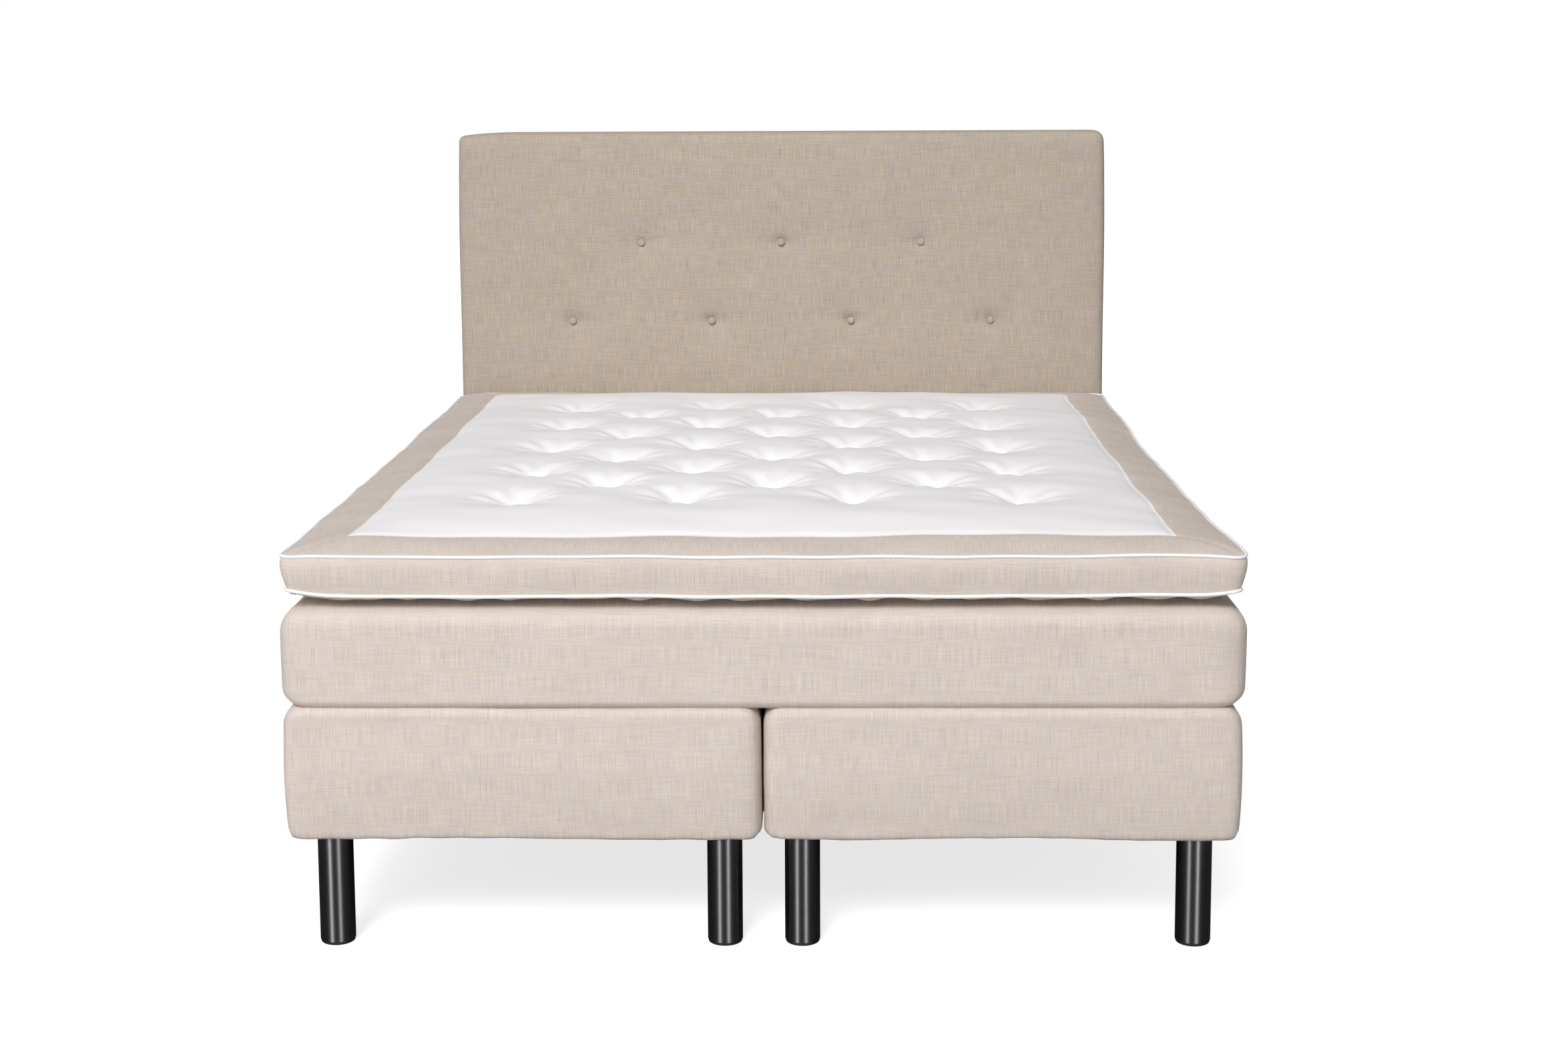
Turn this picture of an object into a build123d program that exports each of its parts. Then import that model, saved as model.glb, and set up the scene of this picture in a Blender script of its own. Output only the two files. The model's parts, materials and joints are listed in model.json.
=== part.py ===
from build123d import *

import os

# A box spring bed for two: a pair of sprung bases on round legs, one mattress across both, a tufted
# topper and an upholstered headboard on two slotted brackets. All lengths are in millimetres.
# The foot end faces -Y, the headboard stands at +Y and the floor is z = 0. The shapes are drawn round
# the middle of the lying surface, and are moved at the end so that the origin is the middle of the
# footprint, headboard included.

os.makedirs("parts", exist_ok=True)

# The whole bed
bed_width = 1600
bed_length = 2000
base_gap = 2
leg_height = 200
base_height = 227
mattress_height = 187

# Fits and overruns
slide_clearance = 0.5
thread_clearance = 0.05
strip_gap = 0.3
cut_over = 5

# Bases: cloth, and how far each level is drawn in from the widest one
base_cloth = 4
base_corner = 28
base_outer_draw = 22
base_inner_draw = 16
base_end_draw = 20
base_level_shares = (0, 0.03, 0.09, 0.36, 0.66, 0.84, 0.92, 0.97, 1)
base_outer_shares = (0.91, 0.64, 0.5, 0.23, 0, 0.05, 0.18, 0.5, 1)
base_inner_shares = (0.65, 0.2, 0.03, 0, 0.04, 0.08, 0.2, 0.5, 1)
base_end_shares = (0.8, 0.4, 0.25, 0.1, 0, 0.05, 0.2, 0.55, 1)

# Bases: timber
rail_inset = 31
rail_thickness = 22
rail_height = 80
slat_width = 70
slat_thickness = 15
slat_count = 11
block_size = 100
block_height = 45
dust_cloth = 1

# Pocket springs, in strips along the bed
pocket_size = 75
pocket_neck = 10
base_spring_height = 109
base_foam_border = 45
mattress_foam_border = 60
mattress_foam_sheet = 22

# Legs
leg_diameter = 60
leg_wall = 2
leg_side_inset = 70
leg_inner_inset = 65
leg_end_inset = 80
leg_disc_thickness = 4
stud_diameter = 8
stud_length = 44
glide_height = 6
glide_plug_height = 14
glide_rim = 2
glide_rounding = 3
tee_barrel_diameter = 11
tee_barrel_length = 12
tee_flange_diameter = 22
tee_flange_thickness = 2

# Link plates between the bases
plate_length = 130
plate_width = 30
plate_thickness = 3
plate_end_inset = 190
plate_corner = 6
screw_diameter = 5
screw_length = 35
screw_head_diameter = 9.5
screw_head_height = 2.6

# Mattress
mattress_cloth = 4
mattress_corner = 35
mattress_draw = 38
mattress_seam = 20
mattress_level_shares = (0, 0.04, 0.1, 0.25, 0.5, 0.71, 0.82, 0.89, 0.955, 1)
mattress_draw_shares = (0.6, 0.36, 0.18, 0.05, 0, 0.03, 0.11, 0.3, 0.62, 1)

# Topper: it overhangs the mattress, a little more at the foot end
topper_side_overhang = 5
topper_foot_overhang = 8
topper_head_overhang = 2
topper_cloth = 5
topper_floor_cloth = 4
topper_corner = 45
topper_side_height = 65
topper_side_draw = 20
topper_side_level_shares = (0, 0.06, 0.14, 0.55, 0.93)
topper_side_draw_shares = (1, 0.4, 0.15, 0, 0.05)
topper_edge_draw = 3
crown_height = 36
crown_flat = 160
crown_level_shares = (0.16, 0.32, 0.46, 0.68, 0.84, 0.95, 1)
crown_reach_shares = (0.02, 0.07, 0.145, 0.31, 0.52, 0.75, 1)
panel_inset = 92
panel_corner = 10
quilt_thickness = 47
piping_diameter = 6
piping_lower_height = 5

# Tufts: sewn through the topper in staggered columns
tuft_spacing_x = 306
tuft_spacing_y = 295
tuft_rows_long = 5
tuft_columns_long = 4
tuft_reach = 104
tuft_depth = 34
tuft_reach_shares = (1, 0.74, 0.48, 0.27, 0.11, 0)
tuft_level_shares = (0.16, 0, -0.22, -0.52, -0.84, -1)
tie_diameter = 3
tack_diameter = 9
tack_height = 1.5

# Headboard: as wide as the bed, from a little above the underside of the bases to its top
headboard_rise = 35
headboard_top = 1335
headboard_thickness = 80
headboard_distance = 12
headboard_corner = 20
headboard_cloth = 3
headboard_draw = 30
headboard_level_shares = (0, 0.1, 0.6, 0.8, 0.93, 1)
headboard_draw_shares = (0.1, 0, 0.01, 0.1, 0.4, 1)
headboard_foam = 35
headboard_side_foam = 12
panel_board = 12
back_cloth = 1.5
stile_width = 90
edge_stile_width = 45
middle_rail_share = 0.5

# Buttons: a row of three above a row of four, staggered
button_spacing = 346
button_upper_drop = 272
button_lower_drop = 467
button_diameter = 20
button_height = 9
button_rounding = 4
dimple_reach = 110
dimple_depth = 15
button_tie_diameter = 2

# Headboard brackets: steel strip, slotted for the height
bracket_side_inset = 125
bracket_width = 40
bracket_thickness = 5
bracket_bend = 6
bracket_under = 135
bracket_end_margin = 25
bracket_screw_count = 3
bracket_screw_pitch = 36
bolt_diameter = 8
bolt_length = 30
bolt_head_diameter = 14
bolt_head_height = 5
washer_diameter = 20
washer_thickness = 2
lower_bolt_rise = 95
bolt_distance = 230
headboard_travel_down = 20
headboard_travel_up = 40

# Levels and places that follow
base_width = (bed_width - base_gap) / 2
topper_width = bed_width + 2 * topper_side_overhang
topper_length = bed_length + topper_foot_overhang + topper_head_overhang
topper_forward = (topper_foot_overhang - topper_head_overhang) / 2
crown_reach = bed_width / 2 - crown_flat
headboard_width = bed_width
headboard_bottom = leg_height + headboard_rise
headboard_height = headboard_top - headboard_bottom
bolt_heights = (headboard_bottom + lower_bolt_rise, headboard_bottom + lower_bolt_rise + bolt_distance)
base_top = leg_height + base_height
mattress_top = base_top + mattress_height
topper_top_edge = mattress_top + topper_side_height
frame_floor = leg_height + dust_cloth
rail_top = frame_floor + rail_height
slat_top = rail_top + slat_thickness
base_spring_top = slat_top + base_spring_height
frame_width = base_width - 2 * rail_inset
frame_length = bed_length - 2 * rail_inset
headboard_front_y = bed_length / 2 + headboard_distance
headboard_back_y = headboard_front_y + headboard_thickness
headboard_middle_z = headboard_top - headboard_height / 2
bracket_x = bed_width / 2 - bracket_side_inset
bracket_back_y = headboard_back_y + bracket_thickness
rear_reach = bracket_back_y + washer_thickness + bolt_head_height
front_reach = bed_length / 2 + topper_foot_overhang
bed_shift = (front_reach - rear_reach) / 2
sides = {"left": -1, "right": 1}
ends = {"front": -1, "rear": 1}


def save(name, solids):
    """Write one node, moved from the middle of the lying surface to the middle of the footprint."""
    moved = [Pos(0, bed_shift, 0) * solid for solid in solids]
    export_step(Compound(children=moved), f"parts/{name}.step")


def block(x_size, y_size, low, high, x=0, y=0):
    """An upright box between two heights."""
    return Pos(x, y, (low + high) / 2) * Box(x_size, y_size, high - low)


def rod(diameter, low, high, x=0, y=0):
    """An upright round bar between two heights."""
    return Pos(x, y, (low + high) / 2) * Cylinder(diameter / 2, high - low)


def lying_rod(diameter, front, back, x, z):
    """A round bar along Y between two places."""
    return Pos(x, (front + back) / 2, z) * Rot(90, 0, 0) * Cylinder(diameter / 2, back - front)


def outline(width, length, corner, level, x=0):
    """A level rectangle with rounded corners."""
    return Pos(x, 0, level) * RectangleRounded(width, length, corner)


def between(low, share, high):
    """The level a share of the way up."""
    return low + share * (high - low)


def tuft_cutter(reach, depth, seat):
    """The hollow that a pulled tie leaves: rings that narrow towards its seat, mouth upwards."""
    rings = []
    for reach_share, level_share in zip(tuft_reach_shares, tuft_level_shares):
        radius = between(seat / 2, reach_share, reach)
        east, north, west, south = (radius, 0), (0, radius), (-radius, 0), (0, -radius)
        quarters = [
            RadiusArc(start, end, -radius)
            for start, end in ((east, north), (north, west), (west, south), (south, east))
        ]
        rings.append(Pos(0, 0, depth * level_share) * make_face(quarters))
    return loft(rings, ruled=True)


def spring_strips(width, length, low, high):
    """Strips of sewn spring pockets, laid side by side and running along the bed."""
    strip_count = round(width / pocket_size)
    pocket_count = round(length / pocket_size)
    strip_pitch = width / strip_count
    pocket_pitch = length / pocket_count
    bulge = (strip_pitch - strip_gap) / 2
    seams = [pocket_pitch * seam - length / 2 for seam in range(pocket_count + 1)]
    edges = []
    for side in sides.values():
        neck_x = side * pocket_neck / 2
        for near, far in zip(seams, seams[1:]):
            middle = (side * bulge, (near + far) / 2)
            edges.append(ThreePointArc((neck_x, near), middle, (neck_x, far)))
    for seam in (seams[0], seams[-1]):
        edges.append(Line((-pocket_neck / 2, seam), (pocket_neck / 2, seam)))
    strip = Pos(0, 0, low) * extrude(make_face(edges), high - low)
    places = [strip_pitch * (number + 0.5) - width / 2 for number in range(strip_count)]
    return [Pos(x, 0, 0) * strip for x in places]


def screw(x, y, low):
    """A countersunk wood screw, driven upwards from the given level."""
    head = Pos(x, y, low + screw_head_height / 2) * Cone(
        screw_head_diameter / 2, screw_diameter / 2, screw_head_height
    )
    return head + rod(screw_diameter, low, low + screw_length, x, y)


def screw_hole(x, y, low):
    """The room for that screw: its countersink and its shank, each with the thread's clearance."""
    countersink = Pos(x, y, low + screw_head_height / 2) * Cone(
        screw_head_diameter / 2 + thread_clearance,
        screw_diameter / 2 + thread_clearance,
        screw_head_height,
    )
    shank = rod(screw_diameter + 2 * thread_clearance, low, low + screw_length, x, y)
    return countersink + shank


# Where the legs, plates and brackets are fixed under the bases


def leg_places(side):
    """The middles of the four legs of one base, by name."""
    outer_x = side * (bed_width / 2 - leg_side_inset)
    inner_x = side * (base_gap / 2 + leg_inner_inset)
    leg_y = bed_length / 2 - leg_end_inset
    return {
        f"{end_name}_{place}": (x, end * leg_y)
        for end_name, end in ends.items()
        for place, x in (("outer", outer_x), ("inner", inner_x))
    }


plate_screw_x = base_gap / 2 + rail_inset + rail_thickness / 2
plate_y = bed_length / 2 - plate_end_inset
plate_floor = leg_height - plate_thickness
bracket_floor = leg_height - bracket_thickness
plate_screw_places = [
    (side * plate_screw_x, end * plate_y) for side in sides.values() for end in ends.values()
]
end_rail_middle_y = bed_length / 2 - rail_inset - rail_thickness / 2
bracket_screw_places = [
    (side * bracket_x, end_rail_middle_y - number * bracket_screw_pitch)
    for side in sides.values()
    for number in range(bracket_screw_count)
]


def screw_holes():
    """The holes of every screw that is driven up into the timber."""
    plate_holes = [screw_hole(x, y, plate_floor) for x, y in plate_screw_places]
    bracket_holes = [screw_hole(x, y, bracket_floor) for x, y in bracket_screw_places]
    return plate_holes + bracket_holes


# Bases


def base_form(side, inset, low, high):
    """The padded outer shape of a base, or the same shape smaller by an inset."""
    levels = []
    for level_share, outer_share, inner_share, end_share in zip(
        base_level_shares, base_outer_shares, base_inner_shares, base_end_shares
    ):
        outer_x = bed_width / 2 - inset - base_outer_draw * outer_share
        inner_x = base_gap / 2 + inset + base_inner_draw * inner_share
        length = bed_length - 2 * (inset + base_end_draw * end_share)
        level = between(low, level_share, high)
        middle_x = side * (outer_x + inner_x) / 2
        levels.append(outline(outer_x - inner_x, length, base_corner - inset, level, middle_x))
    return loft(levels, ruled=True)


def make_base(side_name, side):
    """One base: timber, springs, foam and cloth, and the nuts that take the legs."""
    middle_x = side * (base_gap + base_width) / 2
    holes = screw_holes()
    rail_x = (frame_width - rail_thickness) / 2
    rail_y = (frame_length - rail_thickness) / 2
    inner_width = frame_width - 2 * rail_thickness
    inner_length = frame_length - 2 * rail_thickness

    side_rails = [
        block(rail_thickness, frame_length, frame_floor, rail_top, middle_x + edge * rail_x) - holes
        for edge in sides.values()
    ]
    end_rails = [
        block(inner_width, rail_thickness, frame_floor, rail_top, middle_x, end * rail_y) - holes
        for end in ends.values()
    ]
    slat_pitch = (frame_length - slat_width) / (slat_count - 1)
    slats = [
        block(
            frame_width, slat_width, rail_top, slat_top, middle_x,
            slat_pitch * number - (frame_length - slat_width) / 2,
        )
        for number in range(slat_count)
    ]

    block_top = frame_floor + block_height
    places = leg_places(side).values()
    corner_x = (inner_width - block_size) / 2
    corner_y = (inner_length - block_size) / 2
    barrel_holes = [
        rod(tee_barrel_diameter, frame_floor - cut_over, block_top + cut_over, x, y) for x, y in places
    ]
    corner_blocks = [
        block(block_size, block_size, frame_floor, block_top, middle_x + edge * corner_x, end * corner_y)
        - barrel_holes
        - holes
        for edge in sides.values()
        for end in ends.values()
    ]
    tee_nuts = [
        rod(tee_barrel_diameter, block_top - tee_barrel_length, block_top, x, y)
        + rod(tee_flange_diameter, block_top, block_top + tee_flange_thickness, x, y)
        - rod(stud_diameter + 2 * thread_clearance, leg_height, slat_top, x, y)
        for x, y in places
    ]

    shape = base_form(side, 0, leg_height, base_top)
    inner_shape = base_form(side, base_cloth, leg_height, base_top - base_cloth)
    frame_room = block(frame_width, frame_length, leg_height - cut_over, slat_top, middle_x)
    spring_width = base_width - 2 * base_foam_border
    spring_length = bed_length - 2 * base_foam_border
    spring_room = block(spring_width, spring_length, slat_top, base_spring_top, middle_x)
    above_springs = block(bed_width, bed_length, base_spring_top, base_top + cut_over, middle_x)
    springs = spring_strips(spring_width, spring_length, slat_top, base_spring_top)
    dust_cover = block(frame_width, frame_length, leg_height, frame_floor, middle_x)
    stud_holes = [
        rod(tee_barrel_diameter, leg_height - cut_over, frame_floor + cut_over, x, y) for x, y in places
    ]

    name = f"base_{side_name}"
    save(f"{name}_side_rails", side_rails)
    save(f"{name}_end_rails", end_rails)
    save(f"{name}_cross_slats", slats)
    save(f"{name}_corner_blocks", corner_blocks)
    save(f"{name}_tee_nuts", tee_nuts)
    save(f"{name}_pocket_springs", [Pos(middle_x, 0, 0) * strip for strip in springs])
    save(f"{name}_foam_border", [inner_shape - frame_room - spring_room - above_springs])
    save(f"{name}_top_pad", [inner_shape & above_springs])
    save(f"{name}_cover", [shape - inner_shape])
    save(f"{name}_dust_cover", [dust_cover - stud_holes - holes])


# Legs


def make_legs():
    """Eight round legs: a tube each, a disc with a threaded stud in its head and a glide in its foot."""
    bore = leg_diameter - 2 * leg_wall
    discs = []
    glides = []
    for side_name, side in sides.items():
        for place_name, (x, y) in leg_places(side).items():
            tube = rod(leg_diameter, glide_height, leg_height, x, y)
            tube_bore = rod(bore, glide_height - cut_over, leg_height + cut_over, x, y)
            save(f"leg_tube_{side_name}_{place_name}", [tube - tube_bore])
            disc = rod(bore, leg_height - leg_disc_thickness, leg_height, x, y)
            discs.append(disc + rod(stud_diameter, leg_height, leg_height + stud_length, x, y))
            foot = rod(leg_diameter - glide_rim, 0, glide_height, x, y)
            foot = fillet(foot.edges().sort_by(Axis.Z)[0], glide_rounding)
            plug = rod(bore - 2 * thread_clearance, glide_height, glide_height + glide_plug_height, x, y)
            glides.append(foot + plug)
    save("leg_studs", discs)
    save("leg_glides", glides)


def make_link_plates():
    """Two plates under the rails, which hold the bases together."""
    plates = [
        extrude(outline_of_plate, plate_thickness) - screw_holes()
        for outline_of_plate in (
            Pos(0, end * plate_y, plate_floor) * RectangleRounded(plate_length, plate_width, plate_corner)
            for end in ends.values()
        )
    ]
    save("link_plates", plates)


def make_screws():
    """The wood screws of the link plates and of the headboard brackets."""
    plate_screws = [screw(x, y, plate_floor) for x, y in plate_screw_places]
    bracket_screws = [screw(x, y, bracket_floor) for x, y in bracket_screw_places]
    save("frame_screws", plate_screws + bracket_screws)


# Mattress


def mattress_form(inset, low, high):
    """The padded outer shape of the mattress, or the same shape smaller by an inset."""
    levels = []
    for level_share, draw_share in zip(mattress_level_shares, mattress_draw_shares):
        drawn = 2 * (inset + mattress_draw * draw_share)
        level = between(low, level_share, high)
        levels.append(outline(bed_width - drawn, bed_length - drawn, mattress_corner - inset, level))
    return loft(levels, ruled=True)


def make_mattress():
    """The mattress: border, upper and lower panels, foam and pocket springs."""
    shape = mattress_form(0, base_top, mattress_top)
    inner_shape = mattress_form(mattress_cloth, base_top + mattress_cloth, mattress_top - mattress_cloth)
    panel_seam = mattress_top - mattress_seam
    above = block(2 * bed_width, 2 * bed_length, panel_seam, mattress_top + cut_over)
    below = block(2 * bed_width, 2 * bed_length, base_top - cut_over, base_top + mattress_cloth)
    spring_floor = base_top + mattress_cloth + mattress_foam_sheet
    spring_top = mattress_top - mattress_cloth - mattress_foam_sheet
    spring_width = bed_width - 2 * mattress_foam_border
    spring_length = bed_length - 2 * mattress_foam_border
    spring_room = block(spring_width, spring_length, spring_floor, spring_top)
    over_springs = block(2 * bed_width, 2 * bed_length, spring_top, mattress_top + cut_over)
    under_springs = block(2 * bed_width, 2 * bed_length, base_top - cut_over, spring_floor)

    save("mattress_border", [shape - inner_shape - above - below])
    save("mattress_top_panel", [(shape & above) - inner_shape])
    save("mattress_bottom_panel", [shape & below])
    save("mattress_upper_foam", [inner_shape & over_springs])
    save("mattress_lower_foam", [inner_shape & under_springs])
    save("mattress_foam_border", [inner_shape - over_springs - under_springs - spring_room])
    save("mattress_pocket_springs", spring_strips(spring_width, spring_length, spring_floor, spring_top))


# Topper


def topper_levels():
    """Each level of the topper as its height above the mattress and how far it is drawn in."""
    sides_part = [
        (topper_side_height * level_share, topper_side_draw * draw_share)
        for level_share, draw_share in zip(topper_side_level_shares, topper_side_draw_shares)
    ]
    edge = [(topper_side_height, topper_edge_draw)]
    crown = [
        (topper_side_height + crown_height * level_share, crown_reach * reach_share)
        for level_share, reach_share in zip(crown_level_shares, crown_reach_shares)
    ]
    return sides_part + edge + crown


def topper_form(inset, floor_inset):
    """The crowned outer shape of the topper, or the same shape smaller by an inset."""
    height = topper_side_height + crown_height
    levels = []
    for level, draw in topper_levels():
        drawn = 2 * (inset + draw)
        inner_level = mattress_top + between(floor_inset, level / height, height - inset)
        levels.append(
            outline(topper_width - drawn, topper_length - drawn, topper_corner - inset, inner_level)
        )
    return Pos(0, -topper_forward, 0) * loft(levels, ruled=True)


def crown_level(x, y):
    """The height of the crowned top above a place on it, before the tufts."""
    from_edge = min(topper_width / 2 - abs(x), topper_length / 2 - abs(y))
    crown = [(reach, level) for level, reach in topper_levels() if level >= topper_side_height]
    for (near, low), (far, high) in zip(crown, crown[1:]):
        if from_edge <= far:
            return mattress_top + low + (high - low) * (from_edge - near) / (far - near)
    return mattress_top + crown[-1][1]


def tuft_places():
    """The middles of the tufts: long columns, with shorter ones staggered between them."""
    places = []
    for columns, rows in ((tuft_columns_long, tuft_rows_long), (tuft_columns_long - 1, tuft_rows_long - 1)):
        for column in range(columns):
            for row in range(rows):
                x = (column - (columns - 1) / 2) * tuft_spacing_x
                y = (row - (rows - 1) / 2) * tuft_spacing_y
                places.append((x, y))
    return places


def make_topper():
    """The topper: crowned core, tufted white panel, border, bottom panel, piping and the tufts' ties."""
    places = [(x, y - topper_forward, crown_level(x, y)) for x, y in tuft_places()]
    cutter = tuft_cutter(tuft_reach, tuft_depth, tack_diameter + 2 * slide_clearance)
    hollows = [Pos(x, y, level) * cutter for x, y, level in places]
    tie_hole = tie_diameter + 2 * thread_clearance
    tie_holes = [rod(tie_hole, mattress_top - cut_over, level, x, y) for x, y, level in places]

    shape = topper_form(0, 0)
    inner_shape = topper_form(topper_cloth, topper_floor_cloth)
    floor_top = mattress_top + topper_floor_cloth
    floor_zone = block(2 * bed_width, 2 * bed_length, mattress_top - cut_over, floor_top)
    quilt_floor = topper_top_edge + crown_height - quilt_thickness
    panel_outline = outline(
        topper_width - 2 * panel_inset, topper_length - 2 * panel_inset, panel_corner, quilt_floor
    )
    panel_room = Pos(0, -topper_forward, 0) * extrude(panel_outline, quilt_thickness + cut_over)

    pipings = []
    for level in (topper_top_edge, mattress_top + piping_lower_height):
        seam = outline(
            topper_width - 2 * topper_edge_draw, topper_length - 2 * topper_edge_draw, topper_corner, level
        )
        path = (Pos(0, -topper_forward, 0) * seam).wire()
        start = Plane(origin=path @ 0, z_dir=path % 0)
        pipings.append(sweep(start * Circle(piping_diameter / 2), path=path))

    save("topper_core", [inner_shape - panel_room - tie_holes])
    save("topper_top_panel", [(shape & panel_room) - hollows - tie_holes])
    save("topper_border", [shape - inner_shape - panel_room - floor_zone - pipings])
    save("topper_bottom_panel", [(shape & floor_zone) - pipings - tie_holes])
    save("topper_piping_top", [pipings[0]])
    save("topper_piping_bottom", [pipings[1]])
    ties = []
    for x, y, level in places:
        bottom = level - tuft_depth
        tack = rod(tack_diameter, bottom, bottom + tack_height, x, y)
        ties.append(rod(tie_diameter, mattress_top, bottom, x, y) + tack)
    save("topper_tuft_ties", ties)


# Headboard


def headboard_form(inset, front_y):
    """The padded outer shape of the headboard, or the same shape smaller by an inset."""
    levels = []
    for level_share, draw_share in zip(headboard_level_shares, headboard_draw_shares):
        drawn = 2 * (inset + headboard_draw * draw_share)
        level = between(headboard_back_y, level_share, front_y)
        upright = Plane(origin=(0, level, headboard_middle_z), x_dir=(1, 0, 0), z_dir=(0, -1, 0))
        corner = headboard_corner - inset
        levels.append(upright * RectangleRounded(headboard_width - drawn, headboard_height - drawn, corner))
    return loft(levels, ruled=True)


def upright_board(width, height, front, back, x=0, z=headboard_middle_z):
    """A board that stands across the bed between two places in Y."""
    return Pos(x, (front + back) / 2, z) * Box(width, back - front, height)


button_rows = {
    "upper": [((number - 1) * button_spacing, headboard_top - button_upper_drop) for number in range(3)],
    "lower": [((number - 1.5) * button_spacing, headboard_top - button_lower_drop) for number in range(4)],
}
bolt_places = [(side * bracket_x, height) for side in sides.values() for height in bolt_heights]


def make_headboard():
    """The headboard: plywood on a timber frame, foam, cloth, buttons and the nuts for its bolts."""
    places = [place for row in button_rows.values() for place in row]
    cutter = Rot(90, 0, 0) * tuft_cutter(dimple_reach, dimple_depth, button_diameter + 2 * slide_clearance)
    dimples = [Pos(x, headboard_front_y, z) * cutter for x, z in places]
    inner_dimples = [Pos(0, headboard_cloth, 0) * dimple for dimple in dimples]
    board_front = headboard_front_y + headboard_cloth + headboard_foam
    board_back = board_front + panel_board
    frame_back = headboard_back_y - back_cloth
    tie_holes = [
        lying_rod(button_tie_diameter + 2 * thread_clearance, headboard_front_y, board_back, x, z)
        for x, z in places
    ]
    board_width = headboard_width - 2 * (headboard_cloth + headboard_side_foam)
    board_height = headboard_height - 2 * (headboard_cloth + headboard_side_foam)

    shape = headboard_form(0, headboard_front_y)
    inner_shape = headboard_form(headboard_cloth, headboard_front_y + headboard_cloth) - inner_dimples
    frame_room = upright_board(board_width, board_height, board_front, headboard_back_y + cut_over)
    nut_holes = [
        lying_rod(tee_barrel_diameter, board_back, headboard_back_y + cut_over, x, z) for x, z in bolt_places
    ]
    panel = upright_board(board_width, board_height, board_front, board_back)
    edge_x = (board_width - edge_stile_width) / 2
    stile_places = [(side * edge_x, edge_stile_width) for side in sides.values()]
    stile_places += [(side * bracket_x, stile_width) for side in sides.values()]
    stiles = [
        upright_board(width, board_height, board_back, frame_back, x) - nut_holes for x, width in stile_places
    ]
    rail_length = 2 * bracket_x - stile_width
    rail_reach = (board_height - edge_stile_width) / 2
    rail_levels = (-rail_reach, between(-rail_reach, middle_rail_share, rail_reach), rail_reach)
    rails = [
        upright_board(rail_length, edge_stile_width, board_back, frame_back, z=headboard_middle_z + level)
        for level in rail_levels
    ]
    back = upright_board(board_width, board_height, frame_back, headboard_back_y) - nut_holes

    save("headboard_panel", [panel - tie_holes])
    save("headboard_stiles", stiles)
    save("headboard_cross_rails", rails)
    save("headboard_foam", [inner_shape - frame_room - tie_holes])
    save("headboard_cover", [shape - dimples - inner_shape - frame_room - tie_holes])
    save("headboard_back_cloth", [back])
    button_seat = headboard_front_y + dimple_depth
    for row_name, row in button_rows.items():
        buttons = []
        for x, z in row:
            button = lying_rod(button_diameter, button_seat - button_height, button_seat, x, z)
            buttons.append(fillet(button.edges().sort_by(Axis.Y)[0], button_rounding))
        save(f"headboard_buttons_{row_name}", buttons)
    save(
        "headboard_button_ties",
        [lying_rod(button_tie_diameter, button_seat, board_back, x, z) for x, z in places],
    )
    nuts = []
    for x, z in bolt_places:
        nut = lying_rod(tee_barrel_diameter, board_back, board_back + tee_barrel_length, x, z)
        nuts.append(nut - lying_rod(bolt_diameter + 2 * thread_clearance, board_back, frame_back, x, z))
    save("headboard_tee_nuts", nuts)


def make_brackets():
    """Two slotted L brackets under the bases and behind the headboard, with the headboard's bolts."""
    front_y = bed_length / 2 - bracket_under
    top_z = bolt_heights[-1] + headboard_travel_up + bracket_end_margin
    slot_length = headboard_travel_up + headboard_travel_down + bolt_diameter + 2 * slide_clearance
    slot_shift = (headboard_travel_up - headboard_travel_down) / 2
    for side_name, side in sides.items():
        foot = Pos(0, (front_y + bracket_back_y) / 2, (bracket_floor + leg_height) / 2) * Box(
            bracket_width, bracket_back_y - front_y, bracket_thickness
        )
        upright = Pos(0, (headboard_back_y + bracket_back_y) / 2, (bracket_floor + top_z) / 2) * Box(
            bracket_width, bracket_thickness, top_z - bracket_floor
        )
        strip = foot + upright
        outer_bend = strip.edges().filter_by(Axis.X).group_by(Axis.Y)[-1].sort_by(Axis.Z)[0]
        strip = Pos(side * bracket_x, 0, 0) * fillet(outer_bend, bracket_bend)
        slots = []
        for height in bolt_heights:
            slot = Plane(
                origin=(side * bracket_x, bracket_back_y + cut_over, height + slot_shift),
                x_dir=(0, 0, 1),
                z_dir=(0, -1, 0),
            ) * SlotOverall(slot_length, bolt_diameter + 2 * slide_clearance)
            slots.append(extrude(slot, bracket_thickness + 2 * cut_over))
        save(f"headboard_bracket_{side_name}", [strip - slots - screw_holes()])
    head_back = rear_reach
    head_front = head_back - bolt_head_height
    bolts = [
        lying_rod(bolt_head_diameter, head_front, head_back, x, z)
        + lying_rod(bolt_diameter, head_back - bolt_length, head_front, x, z)
        for x, z in bolt_places
    ]
    washers = [
        lying_rod(washer_diameter, bracket_back_y, head_front, x, z)
        - lying_rod(bolt_diameter + 2 * slide_clearance, bracket_back_y - cut_over, head_back, x, z)
        for x, z in bolt_places
    ]
    save("headboard_bolts", bolts)
    save("headboard_washers", washers)


for side_name, side in sides.items():
    make_base(side_name, side)
make_legs()
make_link_plates()
make_screws()
make_mattress()
make_topper()
make_headboard()
make_brackets()
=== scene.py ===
# %% [markdown]
# # A box spring bed, dressed around its frame
#
# The bed's construction is already there: timber, springs, legs, brackets and plain solids for the
# soft parts. This lesson gives every visible surface its looks. The legs and fittings keep their
# shapes and get finishes. Each soft piece is modelled again as cloth over filling, in the place that
# its plain solid holds, and rides on the same moving body.

import json
import math

import bpy
import numpy as np
from mathutils import Matrix, Vector


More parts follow.
